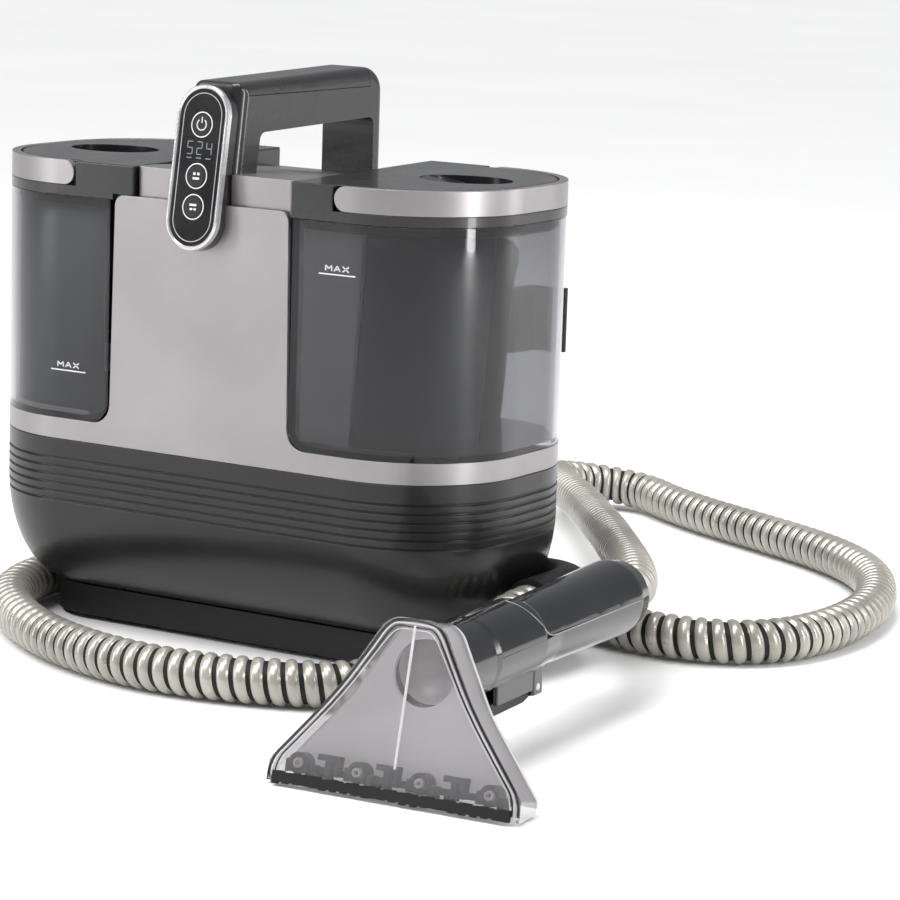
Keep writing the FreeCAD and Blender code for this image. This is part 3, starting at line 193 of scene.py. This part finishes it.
BOWL_BLACK = plastic(
    "bowl_black", (0.004, 0.004, 0.005), (0.008, 0.008, 0.009), (0.28, 0.34), depth=0.02, coat=0.15,
    bevel=0.0012, gloss=0.4,
)
CORE_BLUE = plastic(
    "core_blue", (0.012, 0.013, 0.019), (0.022, 0.024, 0.033), (0.3, 0.4), depth=0.01, gloss=0.4,
)
BACK_SMOKE = clear("nozzle_back_smoke", (0.61, 0.595, 0.605), (0.15, 0.25), 0.22)
BEZEL_SILVER = plastic(
    "bezel_silver", (0.62, 0.61, 0.62), (0.7, 0.69, 0.7), (0.18, 0.26), depth=0.0, metallic=0.8, bevel=0.0,
)
THROAT = plastic("nozzle_throat_smoke", (0.32, 0.31, 0.32), (0.4, 0.385, 0.395), (0.25, 0.4), coat=0.3)
# Light grey for the control panel's printed line and for painted highlight beads on the nozzle.
PRINT_AND_HIGHLIGHT_GREY = plastic("print_and_highlight_grey", (0.5, 0.49, 0.5), (0.62, 0.61, 0.62), (0.15, 0.25), coat=0.5)
# Grey for the painted highlight line along the grip's seam.
SEAM_HIGHLIGHT_GREY = plastic("seam_highlight_grey", (0.16, 0.16, 0.17), (0.22, 0.22, 0.23), (0.15, 0.25), coat=0.6)
OWN_LOOKS = {
    "grip_upper": GRIP_GLOSS,
    "grip_collar": GRIP_GLOSS,
    "grip_lower": GRIP_GLOSS,
    "nozzle_neck": GRIP_GLOSS,
    "base_tub": BOWL_BLACK,
    "core_housing": CORE_BLUE,
    "nozzle_back": BACK_SMOKE,
    "control_bezel": BEZEL_SILVER,
}
# Near-black look for the hose's groove faces: painted shade in the grooves.
HOSE_GROOVE_SHADE = plastic(
    "hose_groove_painted_shade", (0.006, 0.006, 0.005), (0.014, 0.013, 0.012), (0.5, 0.7), 500, 0.1, gloss=0.2,
)
PRINT_WHITE = plastic("print_white", (0.72, 0.72, 0.73), (0.8, 0.8, 0.8), (0.4, 0.5))

for part in frame["record"]["subparts"]:
    node = frame["nodes"][part["node"]]
    for place in node.material_slots:
        place.link = "OBJECT"
        place.material = OWN_LOOKS.get(part["node"], LOOKS[part["material_slot"]])


def new_piece(name, mesh, body, slot, *materials):
    for look in materials:
        mesh.materials.append(look)
    piece = bpy.data.objects.new(name, mesh)
    bpy.context.collection.objects.link(piece)
    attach(piece, body)
    return piece


def mesh_of(name, points, faces, smooth=True):
    mesh = bpy.data.meshes.new(name)
    mesh.from_pydata(points, [], faces)
    mesh.validate()
    work = bmesh.new()
    work.from_mesh(mesh)
    bmesh.ops.recalc_face_normals(work, faces=work.faces)
    work.to_mesh(mesh)
    work.free()
    if smooth:
        mesh.polygons.foreach_set("use_smooth", [True] * len(mesh.polygons))
    return mesh


# ---------------------------------------------------------------- suction hose
TOOL_TURN = math.radians(3.7)
TOOL_FOOT = Vector((0.2605, -0.2803, 0))
TOOL_LINE = Vector((-math.sin(TOOL_TURN), math.cos(TOOL_TURN), 0))
TOOL_SIDE = Vector((math.cos(TOOL_TURN), math.sin(TOOL_TURN), 0))
HOSE_DIAMETER = 0.026
LOW = 13.2  # height of the hose's axis where it lies on the floor
HOSE_ROUTE = [
    (180, -10, 40),
    (180, -28, 40),
    (179, -52, 33),
    (173, -82, 21),
    (158, -112, LOW + 1),
    (139, -137, LOW),
    (117, -152, LOW),
    (91, -162, LOW),
    (63, -169, LOW),
    (33, -171.5, LOW),
    (-2, -167, LOW),
    (-41, -154.5, LOW),
    (-77, -135, LOW),
    (-110, -109, LOW),
    (-137, -80, LOW),
    (-155, -40, LOW),
    (-159, 5, LOW),
    (-151, 55, LOW),
    (-128, 100, LOW),
    (-88, 132, LOW),
    (-36, 152, LOW),
    (22, 160, LOW),
    (78, 150, LOW),
    (124, 126.5, LOW),
    (160, 98, LOW),
    (190, 83, LOW),
    (217, 79, LOW),
    (244, 83, LOW),
    (266, 95, LOW),
    (281, 117, LOW),
    (288, 148, LOW),
    (289, 182, LOW),
    (283, 224, LOW),
    (268, 268, LOW),
    (245, 309, LOW),
    (214, 342, LOW),
    (174, 369, LOW),
    (123, 394, LOW),
    (70, 419, LOW),
    (30, 443, LOW),
    (4, 462, 14),
    (-19, 464, 16),
    (-37, 453, 19),
    (-47, 434, 22.5),
    (-46, 413, 25.5),
    (-26, 383, 29),
    (9, 338, 33),
    (40, 299, 36),
    (69, 259, 39),
    (99, 216, 43),
    (130, 172, 47),
    (163, 123, 51),
    (192, 80, 54.5),
    (214, 46, 57.5),
    (230, 20, 59),
    (239.5, 2.5, 59),
]
GRIP_LEVEL = 59
route = [Vector(point) * MM for point in HOSE_ROUTE]
for beyond in (0.273, 0.260):
    route.append(TOOL_FOOT + TOOL_LINE * beyond + Vector((0, 0, GRIP_LEVEL * MM)))


def spline_points(points):
    """The smooth line of a NURBS spline with these control points."""
    curve = bpy.data.curves.new("route", "CURVE")
    curve.dimensions = "3D"
    curve.resolution_u = 16
    spline = curve.splines.new("NURBS")
    spline.points.add(len(points) - 1)
    for place, point in zip(spline.points, points):
        place.co = (*point, 1)
    spline.order_u = 3
    spline.use_endpoint_u = True
    holder = bpy.data.objects.new("route", curve)
    mesh = bpy.data.meshes.new_from_object(holder)
    line = [vertex.co.copy() for vertex in mesh.vertices]
    bpy.data.objects.remove(holder)
    bpy.data.meshes.remove(mesh)
    return line


def along(line):
    """Cumulative length at each point of a line."""
    lengths = [0.0]
    for before, after in zip(line, line[1:]):
        lengths.append(lengths[-1] + (after - before).length)
    return lengths


def carried_frames(line):
    """At each point the direction and two sides, carried along without twisting."""
    side = Vector((0, 0, 1))
    frames = []
    for n in range(len(line)):
        ahead = (line[min(n + 1, len(line) - 1)] - line[max(n - 1, 0)]).normalized()
        side = (side - ahead * side.dot(ahead)).normalized()
        frames.append((ahead, side, ahead.cross(side)))
    return frames


RING_SHARE = 0.7


def helix_tube(name, line, radius, groove, pitch, per_turn, around):
    """A corrugated tube: raised rings winding round the line in one helix, with grooves between them whose
    faces it marks for a near-black look, painted shade in the grooves.
    """
    lengths = along(line)
    total = lengths[-1]
    frames = carried_frames(line)
    stations = np.array(lengths)
    centres = np.array([tuple(p) for p in line])
    sides = np.array([tuple(f[1]) for f in frames])
    crosses = np.array([tuple(f[2]) for f in frames])

    def at(distance):
        place = np.array([np.interp(distance, stations, centres[:, k]) for k in range(3)])
        side = np.array([np.interp(distance, stations, sides[:, k]) for k in range(3)])
        cross = np.array([np.interp(distance, stations, crosses[:, k]) for k in range(3)])
        return place, side / np.linalg.norm(side), cross / np.linalg.norm(cross)

    step = pitch / per_turn
    rows = int(total / step) + 1
    points = []
    for row in range(-per_turn, rows + 1):
        for column in range(around):
            distance = min(max((row + per_turn * column / around) * step, 0), total)
            phase = (row % per_turn) / per_turn
            ring = max(math.sin(math.pi * phase / RING_SHARE), 0) if phase < RING_SHARE else 0
            size = radius - groove * (1 - ring**0.4)
            place, side, cross = at(distance)
            angle = 2 * math.pi * column / around
            points.append(tuple(place + (side * math.cos(angle) + cross * math.sin(angle)) * size))
    faces = []
    dark = []
    for row in range(rows + per_turn):
        for column in range(around):
            a = row * around + column
            if column < around - 1:
                face = (a, a + 1, a + around + 1, a + around)
            elif row < rows:
                b = (row + per_turn) * around
                face = (a, b, b + around, a + around)
            else:
                continue
            faces.append(face)
            phase = ((row - per_turn) % per_turn + 0.5) / per_turn
            # Groove faces get the near-black painted shade look.
            dark.append(1 if phase > RING_SHARE - 0.02 or phase < 0.03 else 0)
    mesh = mesh_of(name, points, faces)
    return mesh, dark


hose_line = spline_points(route)
GROOVE_DEPTH, RING_PITCH = 0.0019, 0.0092
ROWS_PER_TURN, COLUMNS_AROUND = 14, 36
hose_mesh, groove_shade_faces = helix_tube(
    "hose_tube", hose_line, HOSE_DIAMETER / 2, GROOVE_DEPTH, RING_PITCH, ROWS_PER_TURN, COLUMNS_AROUND
)
hose_mesh.materials.append(LOOKS["hose_rings"])
hose_mesh.materials.append(HOSE_GROOVE_SHADE)
if len(groove_shade_faces) == len(hose_mesh.polygons):
    hose_mesh.polygons.foreach_set("material_index", groove_shade_faces)
hose = new_piece("hose_tube", hose_mesh, "machine", "hose_rings")
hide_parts("hose")

# ---------------------------------------------------------------- control panel prints
PRESS = math.radians(8.9)
OUT = Vector((0, -math.cos(PRESS), math.sin(PRESS)))
RISE = Vector((0, math.sin(PRESS), math.cos(PRESS)))
ACROSS = Vector((1, 0, 0))
PRINT_HEIGHT = 0.00012


def face_of(node):
    """Middle of a node's front surface on the tilted control panel."""
    places = [vertex.co for vertex in frame["nodes"][node].data.vertices]
    front = max(place.dot(OUT) for place in places)
    levels = [place.dot(RISE) for place in places]
    sides = [place.x for place in places]
    middle = (min(levels) + max(levels)) / 2
    return ACROSS * (min(sides) + max(sides)) / 2 + RISE * middle + OUT * front


def plate(shapes, origin, across, rise, out, thick=PRINT_HEIGHT):
    """Flat prints: each shape is a closed list of (x, y) in mm, raised a hair off the surface."""
    points, faces = [], []
    for shape in shapes:
        first = len(points)
        count = len(shape)
        for level in (0.00002, thick):
            for x, y in shape:
                points.append(tuple(origin + across * x * MM + rise * y * MM + out * level))
        faces.append([first + count + n for n in range(count)])
        faces.append([first + n for n in reversed(range(count))])
        for n in range(count):
            m = (n + 1) % count
            faces.append([first + n, first + m, first + count + m, first + count + n])
    return points, faces


def sector(radius, width, start, end, centre=(0, 0), steps=40):
    """Short straight-sided pieces that make up an arc stroke."""
    shapes = []
    for n in range(steps):
        a, b = (math.radians(start + (end - start) * k / steps) for k in (n, n + 1))
        inner, outer = radius - width / 2, radius + width / 2
        corners = [(inner, a), (outer, a), (outer, b), (inner, b)]
        shapes.append([(centre[0] + r * math.cos(t), centre[1] + r * math.sin(t)) for r, t in corners])
    return shapes


def bar(x, y, wide, high):
    return [
        (x - wide / 2, y - high / 2), (x + wide / 2, y - high / 2), (x + wide / 2, y + high / 2),
        (x - wide / 2, y + high / 2),
    ]


def segments(x, y, wide, high, lit, stroke=0.55):
    """A seven-segment figure; lit lists its segments, top first and clockwise, the middle last."""
    half, quarter = high / 2, high / 4
    places = [
        bar(x, y + half, wide, stroke), bar(x + wide / 2, y + quarter, stroke, half - stroke),
        bar(x + wide / 2, y - quarter, stroke, half - stroke), bar(x, y - half, wide, stroke),
        bar(x - wide / 2, y - quarter, stroke, half - stroke), bar(
            x - wide / 2, y + quarter, stroke, half - stroke,
        ),
        bar(x, y, wide, stroke),
    ]
    return [places[n] for n in lit]


def print_on(name, node, body, shapes):
    points, faces = plate(shapes, face_of(node), ACROSS, RISE, OUT)
    return new_piece(name, mesh_of(name, points, faces, False), body, "button_black", PRINT_WHITE)


print_on("power_mark", "power_button", "power_key",
         sector(3.1, 0.7, 125, 415) + [bar(0, 2.6, 0.7, 3.4)])
print_on("mode_mark", "mode_button", "mode_key",
         [bar(-1.3, 1.2, 1.6, 1.5), bar(1.4, 1.2, 1.6, 1.5), bar(0, -1.4, 4.4, 1.3)])
print_on("spray_mark", "spray_button", "spray_key",
         [bar(0, 1.1, 4.8, 1.2), bar(-1.0, -1.3, 1.8, 1.2), bar(1.5, -1.3, 1.6, 1.2)])
lines = segments(-6.5, 0.6, 3.4, 7, (0, 2, 3, 5, 6)) + segments(0, 0.6, 3.4, 7, (0, 1, 3, 4, 6))
lines += segments(6.5, 0.6, 3.4, 7, (1, 2, 5, 6)) + [
    bar(-6.5, -5, 3.4, 0.6), bar(0, -5, 3.4, 0.6), bar(6.5, -5, 3.4, 0.6),
]
rings = []
panel_middle = face_of("control_face")
for button in ("power_button", "mode_button", "spray_button"):
    lowest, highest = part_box(button)
    rise = (face_of(button) - panel_middle).dot(RISE) / MM
    rings += sector((highest.x - lowest.x) / 2 / MM + 0.95, 0.7, 0, 360, (0, rise))
points, faces = plate(rings, panel_middle, ACROSS, RISE, OUT)
new_piece(
    "button_rings", mesh_of("button_rings", points, faces, False), "machine", "panel_black", PRINT_WHITE,
)
rim = []
HALF_WIDE, HALF_LONG, RIM_STROKE = 12.6, 41.5, 0.45
for n in range(48):
    turns = [2 * math.pi * (n + k) / 48 for k in (0, 1)]
    corners = []
    for angle, radius in (
        (turns[0], HALF_WIDE), (turns[0], HALF_WIDE + RIM_STROKE), (turns[1], HALF_WIDE + RIM_STROKE),
        (turns[1], HALF_WIDE),
    ):
        shift = HALF_LONG - HALF_WIDE if math.sin((turns[0] + turns[1]) / 2) > 0 else HALF_WIDE - HALF_LONG
        corners.append((radius * math.cos(angle), radius * math.sin(angle) + shift))
    rim.append(corners)
straight = 2 * (HALF_LONG - HALF_WIDE)
rim += [bar(side * (HALF_WIDE + RIM_STROKE / 2), 0, RIM_STROKE, straight) for side in (1, -1)]
points, faces = plate(rim, face_of("control_face"), ACROSS, RISE, OUT)
new_piece("panel_line", mesh_of("panel_line", points, faces, False), "machine", "panel_black", PRINT_AND_HIGHLIGHT_GREY)
DISPLAY_LIT = plastic("display_lit", (0.22, 0.23, 0.25), (0.26, 0.27, 0.3), (0.3, 0.4))
points, faces = plate(lines, face_of("display_window"), ACROSS, RISE, OUT)
new_piece(
    "display_marks", mesh_of("display_marks", points, faces, False), "machine", "panel_black", DISPLAY_LIT,
)


# ---------------------------------------------------------------- fill level marks on the tanks
FLAT_END, CORNER, FRONT = 101.5, 68.5, 84.15


def front_at(x):
    beyond = max(abs(x) - FLAT_END, 0)
    return -FRONT + CORNER - math.sqrt(CORNER**2 - beyond**2)


LETTER_STROKES = {
    "M": [((0, 0), (0, 1)), ((0, 1), (0.4, 0.4)), ((0.4, 0.4), (0.8, 1)), ((0.8, 1), (0.8, 0))],
    "A": [((0, 0), (0.4, 1)), ((0.4, 1), (0.8, 0)), ((0.15, 0.35), (0.65, 0.35))],
    "X": [((0, 0), (0.8, 1)), ((0, 1), (0.8, 0))],
}


def level_mark(name, body, left, right_end, level):
    """A generic fill line with the word for full above it, wrapped on the tank's front."""
    middle, high, stroke = (left + right_end) / 2, 3.0, 0.8
    shapes = [((left, level), (right_end, level))]
    for number, letter in enumerate("MAX"):
        x0 = middle - 7.6 + number * 5.6
        for (ax, ay), (bx, by) in LETTER_STROKES[letter]:
            shapes.append(((x0 + ax * 5, level + 1.9 + ay * high), (x0 + bx * 5, level + 1.9 + by * high)))
    points, faces = [], []
    for (ax, az), (bx, bz) in shapes:
        steps = 8
        reach = math.hypot(bx - ax, bz - az)
        off_x, off_z = -(bz - az) / reach * stroke / 2, (bx - ax) / reach * stroke / 2
        first = len(points)
        for n in range(steps + 1):
            x, z = ax + (bx - ax) * n / steps, az + (bz - az) * n / steps
            for sign in (1, -1):
                for lift in (0, 0.12):
                    place = (x + off_x * sign, front_at(x) - lift, z + off_z * sign)
                    points.append(tuple(measure * MM for measure in place))
        for n in range(steps):
            a = first + n * 4
            faces += [
                (a + 1, a + 3, a + 7, a + 5), (a, a + 4, a + 6, a + 2), (a, a + 1, a + 5, a + 4),
                (a + 2, a + 6, a + 7, a + 3),
            ]
    new_piece(name, mesh_of(name, points, faces, False), body, "tank_smoke", PRINT_WHITE)


level_mark("clean_level_mark", "clean_tank_unit", 81, 105, 227)
level_mark("dirty_level_mark", "dirty_tank_unit", -104, -79, 154)

# ---------------------------------------------------------------- hand tool details
LEAN = math.radians(13.9)


def tool_point(x, along_tool, level):
    return TOOL_FOOT + TOOL_SIDE * x * MM + TOOL_LINE * along_tool * MM + Vector((0, 0, level * MM))


def nozzle_point(x, depth, rise):
    return tool_point(
        x, depth * math.cos(LEAN) + rise * math.sin(LEAN), rise * math.cos(LEAN) - depth * math.sin(LEAN),
    )


def bead(name, line, radius, body, slot, look, around=10):
    """A thin round bead along a line of points."""
    frames = carried_frames(line)
    points, faces = [], []
    for place, (_, side, cross) in zip(line, frames):
        for n in range(around):
            angle = 2 * math.pi * n / around
            points.append(tuple(place + (side * math.cos(angle) + cross * math.sin(angle)) * radius))
    for n in range(len(line) - 1):
        for m in range(around):
            k = (m + 1) % around
            faces.append((n * around + m, n * around + k, (n + 1) * around + k, (n + 1) * around + m))
    faces.append(list(range(around)))
    faces.append([(len(line) - 1) * around + m for m in reversed(range(around))])
    return new_piece(name, mesh_of(name, points, faces), body, slot, look)


def smooth_line(points):
    return spline_points([Vector(p) for p in points])


def nozzle_side(inset, sign):
    """One side of the nozzle's outline, from its foot to the middle of its rounded top, on the front face."""
    shape = [(70.5, 4), (70.5, 12), (62, 22), (39, 50), (24, 74), (16, 88), (8, 91.4), (0, 91.4)]
    return [nozzle_point(sign * max(x - inset, 0), -0.1, min(z, 91.4 - inset)) for x, z in shape]


# Each rim line: how far inside the nozzle's outline, its radius and its look; the dark lines are painted
# shade and the light lines painted highlights along the clear rim.
RIM_SHADE_AND_HIGHLIGHT_LINES = [(0.8, 0.75, GRIP_GLOSS), (2.6, 0.5, PRINT_AND_HIGHLIGHT_GREY), (4.2, 0.4, GRIP_GLOSS), (5.6, 0.3, PRINT_AND_HIGHLIGHT_GREY)]
for number, (inset, radius, look) in enumerate(RIM_SHADE_AND_HIGHLIGHT_LINES):
    for label, sign in (("left", -1), ("right", 1)):
        bead(
            f"nozzle_rim_{label}_{number}", smooth_line(nozzle_side(inset, sign)), radius * MM,
            "nozzle_unit", "nozzle_smoke", look,
        )
# A light grey bead down the nozzle's middle: a painted highlight along its ridge.
bead(
    "nozzle_ridge_highlight", smooth_line([nozzle_point(0, -0.1, z) for z in (17, 40, 65, 88)]), 0.75 * MM,
    "nozzle_unit", "nozzle_smoke", PRINT_AND_HIGHLIGHT_GREY,
)


def turned_piece(name, profile, body, slot, look, around=48):
    """A thin skin turned about the grip's axis; the profile is (along the tool, radius)."""
    points, faces = [], []
    for along_tool, radius in profile:
        for n in range(around):
            angle = math.radians(360 * n / around)
            level = GRIP_LEVEL + radius * math.sin(angle)
            points.append(tuple(tool_point(radius * math.cos(angle), along_tool, level)))
    for row in range(len(profile) - 1):
        for n in range(around):
            m = (n + 1) % around
            below, above = row * around, (row + 1) * around
            faces.append((below + n, below + m, above + m, above + n))
    return new_piece(name, mesh_of(name, points, faces), body, slot, look)


turned_piece(
    "nozzle_throat", [(37, 16.8), (41, 15), (46, 10), (49, 4), (50, 0.2)], "nozzle_unit", "nozzle_smoke",
    THROAT,
)

# The radius of the grip's painted highlight line about the grip's axis, up to each distance along the tool.
HIGHLIGHT_LINE_RADII = [(126, 21.5), (131, 20.9), (170, 19.75), (220, 20.3), (math.inf, 21.2)]
highlight_line_points = []
for angle, along_tool in (
    (88, 117.5), (70, 118), (50, 119.5), (32, 123), (18, 127), (9, 132), (6.2, 140), (5.8, 160), (5.8, 200),
    (5.8, 243),
):
    reach = next(radius for end, radius in HIGHLIGHT_LINE_RADII if along_tool < end)
    turn_angle = math.radians(angle)
    level = GRIP_LEVEL + reach * math.sin(turn_angle)
    highlight_line_points.append(tool_point(reach * math.cos(turn_angle), along_tool, level))
# A grey bead along the grip's collar edge and seam: a painted highlight line.
bead("grip_highlight_line", smooth_line(highlight_line_points), 0.4 * MM, "machine", "shell_black", SEAM_HIGHLIGHT_GREY)


# Spray bosses and clips seen through the clear nozzle.
def nozzle_block(points, faces, x0, x1, y0, y1, z0, z1):
    first = len(points)
    for x in (x0, x1):
        for y in (y0, y1):
            for z in (z0, z1):
                points.append(tuple(nozzle_point(x, y, z)))
    for quad in ((0, 1, 3, 2), (4, 6, 7, 5), (0, 4, 5, 1), (2, 3, 7, 6), (0, 2, 6, 4), (1, 5, 7, 3)):
        faces.append(tuple(first + n for n in quad))


def nozzle_ring(points, faces, x, z, outer, inner, y0, y1, around=28):
    first = len(points)
    for radius, depth in ((outer, y1), (outer, y0), (inner, y0), (inner, y1)):
        for n in range(around):
            angle = 2 * math.pi * n / around
            across, rise = x + radius * math.cos(angle), z + radius * math.sin(angle)
            points.append(tuple(nozzle_point(across, depth, rise)))
    for band in range(4):
        for n in range(around):
            m = (n + 1) % around
            a, b = band * around, (band + 1) % 4 * around
            faces.append((first + a + n, first + a + m, first + b + m, first + b + n))


dark_points, dark_faces = [], []
light_points, light_faces = [], []
nozzle_block(dark_points, dark_faces, -60, 60, 9, 12.5, 8, 11.5)
for x in (-56, -22.5, 12.5, 51):
    nozzle_ring(dark_points, dark_faces, x, 12, 5.4, 3.2, 4, 12)
    nozzle_ring(light_points, light_faces, x, 12, 2.6, 1.2, 3.4, 12)
    nozzle_block(dark_points, dark_faces, x - 7.4, x - 4.6, 5, 12, 7, 13.5)
    nozzle_block(dark_points, dark_faces, x + 4.4, x + 8.2, 5, 12, 6, 12)
for x in (-39, -6, 31.5):
    nozzle_block(dark_points, dark_faces, x - 6.2, x + 6.2, 4, 9, 15.2, 18.2)
    nozzle_block(dark_points, dark_faces, x - 1.6, x + 1.6, 4, 9, 6.5, 15.2)
    nozzle_block(dark_points, dark_faces, x + 4.2, x + 6.2, 4, 9, 8, 15.2)
    nozzle_block(dark_points, dark_faces, x - 4.6, x - 2.8, 4, 9, 6.5, 8.6)
spray_detail = new_piece(
    "spray_bar_detail", mesh_of("spray_bar_detail", dark_points, dark_faces, False), "nozzle_unit",
    "inner_grey", LOOKS["inner_grey"],
)
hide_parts("spray_bar")
lip_points, lip_faces = [], []
LIP_TEETH = 44
for n in range(LIP_TEETH):
    left_edge, right_edge = (-66 + 132 * (n + k) / LIP_TEETH for k in (0, 1))
    ragged = 0.35 + 0.9 * abs(math.sin(n * 1.7)) + 0.5 * abs(math.sin(n * 0.37))
    top_edge = 6.2 + 0.9 * abs(math.sin(n * 0.9 + 1))
    nozzle_block(lip_points, lip_faces, left_edge, right_edge, -3.1, -0.3, ragged, top_edge)
lip = new_piece(
    "squeegee_lip", mesh_of("squeegee_lip", lip_points, lip_faces, False), "nozzle_unit", "rubber_black",
    LOOKS["rubber_black"],
)
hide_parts("squeegee")
new_piece(
    "spray_boss_eyes", mesh_of("spray_boss_eyes", light_points, light_faces), "nozzle_unit", "inner_grey",
    THROAT,
)

# ---------------------------------------------------------------- sheets inside the tanks, painted light and shade
def tank_shading_sheet(name, body, low, high, edges, look, inset=7.0, thick=1.2):
    """A sheet just inside a tank's front, darker or lighter, that paints the shade and light seen in the
    tank; its slanted edges are distances along the tank's side.
    """
    flat, radius = FLAT_END, CORNER - inset

    def place(distance, z, out):
        sign = 1 if edges[0][0] > 0 else -1
        distance = abs(distance)
        if distance <= flat:
            return (sign * distance * MM, (-84 + inset - out) * MM, z * MM)
        angle = (distance - flat) / radius
        reach = radius + out
        return (
            sign * (flat + reach * math.sin(angle)) * MM, (-84 + CORNER - reach * math.cos(angle)) * MM,
            z * MM,
        )

    rows, columns = 12, 40
    points, faces = [], []
    for out in (0, thick):
        for row in range(rows + 1):
            share = row / rows
            near = edges[0][0] + (edges[1][0] - edges[0][0]) * share
            far = edges[0][1] + (edges[1][1] - edges[0][1]) * share
            for column in range(columns + 1):
                points.append(place(near + (far - near) * column / columns, low + (high - low) * share, out))
    layer = (rows + 1) * (columns + 1)
    for row in range(rows):
        for column in range(columns):
            a = row * (columns + 1) + column
            b = a + columns + 1
            faces.append((a, a + 1, b + 1, b))
            faces.append((layer + a, layer + b, layer + b + 1, layer + a + 1))
    ring = list(range(columns + 1))
    ring += [row * (columns + 1) + columns for row in range(1, rows + 1)]
    ring += [rows * (columns + 1) + column for column in reversed(range(columns))]
    ring += [row * (columns + 1) for row in reversed(range(1, rows))]
    for a, b in zip(ring, ring[1:] + ring[:1]):
        faces.append((a, layer + a, layer + b, b))
    return new_piece(name, mesh_of(name, points, faces), body, "tank_smoke", look)


# A milky grey sheet paints a lighter zone near the clean tank's end (painted light); dark bluish sheets paint
# the shade inside both tanks.
PAINTED_LIGHT_SMOKE = clear("painted_light_smoke", (0.5, 0.5, 0.49), (0.3, 0.4), 0.6, 0.2, ripple=0.0)
PAINTED_SHADE_SMOKE = clear("painted_shade_smoke", (0.055, 0.065, 0.1), (0.3, 0.4), 0.92, 0.2, ripple=0.0)
tank_shading_sheet(
    "clean_tank_painted_light_sheet", "clean_tank_unit", 131, 250, ((68, 100), (68, 107)), PAINTED_LIGHT_SMOKE, inset=5.5,
)
tank_shading_sheet("clean_tank_painted_shade_sheet", "clean_tank_unit", 131, 250, ((101, 174), (108, 183)), PAINTED_SHADE_SMOKE)
tank_shading_sheet("dirty_tank_painted_shade_sheet", "dirty_tank_unit", 131, 250, ((-70, -150), (-70, -153)), PAINTED_SHADE_SMOKE)

# ---------------------------------------------------------------- floor, light
floor_mesh = mesh_of(
    "floor", [(-9, -9, -0.0004), (9, -9, -0.0004), (9, 9, -0.0004), (-9, 9, -0.0004)], [(0, 1, 2, 3)],
    False,
)
floor = bpy.data.objects.new("floor", floor_mesh)
pale, pale_tree, pale_shader = material("floor_pale")
pale_tree.links.new(
    ramp(pale_tree, noise(pale_tree, 2, 3), (0.9, 0.9, 0.9), (0.93, 0.93, 0.93)),
    pale_shader.inputs["Base Color"],
)
pale_shader.inputs["Roughness"].default_value = 0.7
floor_mesh.materials.append(pale)
bpy.context.collection.objects.link(floor)

world = bpy.data.worlds.new("studio")
world.use_nodes = True
sky = world.node_tree
seen = sky.nodes["Background"]
seen.inputs["Color"].default_value = (1, 1, 1, 1)
seen.inputs["Strength"].default_value = 1.0
dim = sky.nodes.new("ShaderNodeBackground")
dim.inputs["Color"].default_value = (0.97, 0.98, 1, 1)
dim.inputs["Strength"].default_value = 0.34
rays = sky.nodes.new("ShaderNodeLightPath")
either = sky.nodes.new("ShaderNodeMath")
either.operation = "MAXIMUM"
sky.links.new(rays.outputs["Is Camera Ray"], either.inputs[0])
sky.links.new(rays.outputs["Is Transmission Ray"], either.inputs[1])
share = sky.nodes.new("ShaderNodeMixShader")
sky.links.new(either.outputs[0], share.inputs[0])
sky.links.new(dim.outputs[0], share.inputs[1])
sky.links.new(seen.outputs[0], share.inputs[2])
sky.links.new(share.outputs[0], sky.nodes["World Output"].inputs["Surface"])
bpy.context.scene.world = world
bpy.context.scene.view_settings.view_transform = "Standard"


def softbox(name, place, target, size, watts, tall=None):
    lamp = bpy.data.lights.new(name, "AREA")
    lamp.shape = "RECTANGLE"
    lamp.size, lamp.size_y = size, tall or size
    lamp.energy = watts
    holder = bpy.data.objects.new(name, lamp)
    holder.location = place
    holder.rotation_euler = (Vector(target) - Vector(place)).to_track_quat("-Z", "Y").to_euler()
    bpy.context.collection.objects.link(holder)


sun = bpy.data.lights.new("sky_light", "SUN")
sun.energy = 2.5
sun.angle = math.radians(40)
sun_holder = bpy.data.objects.new("sky_light", sun)
sun_holder.rotation_euler = Vector((0.25, 0.45, -1)).to_track_quat("-Z", "Y").to_euler()
bpy.context.collection.objects.link(sun_holder)
softbox("left_front", (-1.6, -1.5, 0.9), (0, 0, 0.15), 0.5, 20, 1.5)
softbox("right_strip", (2.0, -0.25, 0.7), (0.05, 0, 0.18), 0.3, 22, 1.5)
softbox("right_rear", (1.6, 1.4, 0.8), (0.05, 0, 0.15), 0.5, 14, 1.4)
softbox("top", (0.2, 0.1, 2.0), (0.1, 0, 0.1), 0.7, 14)
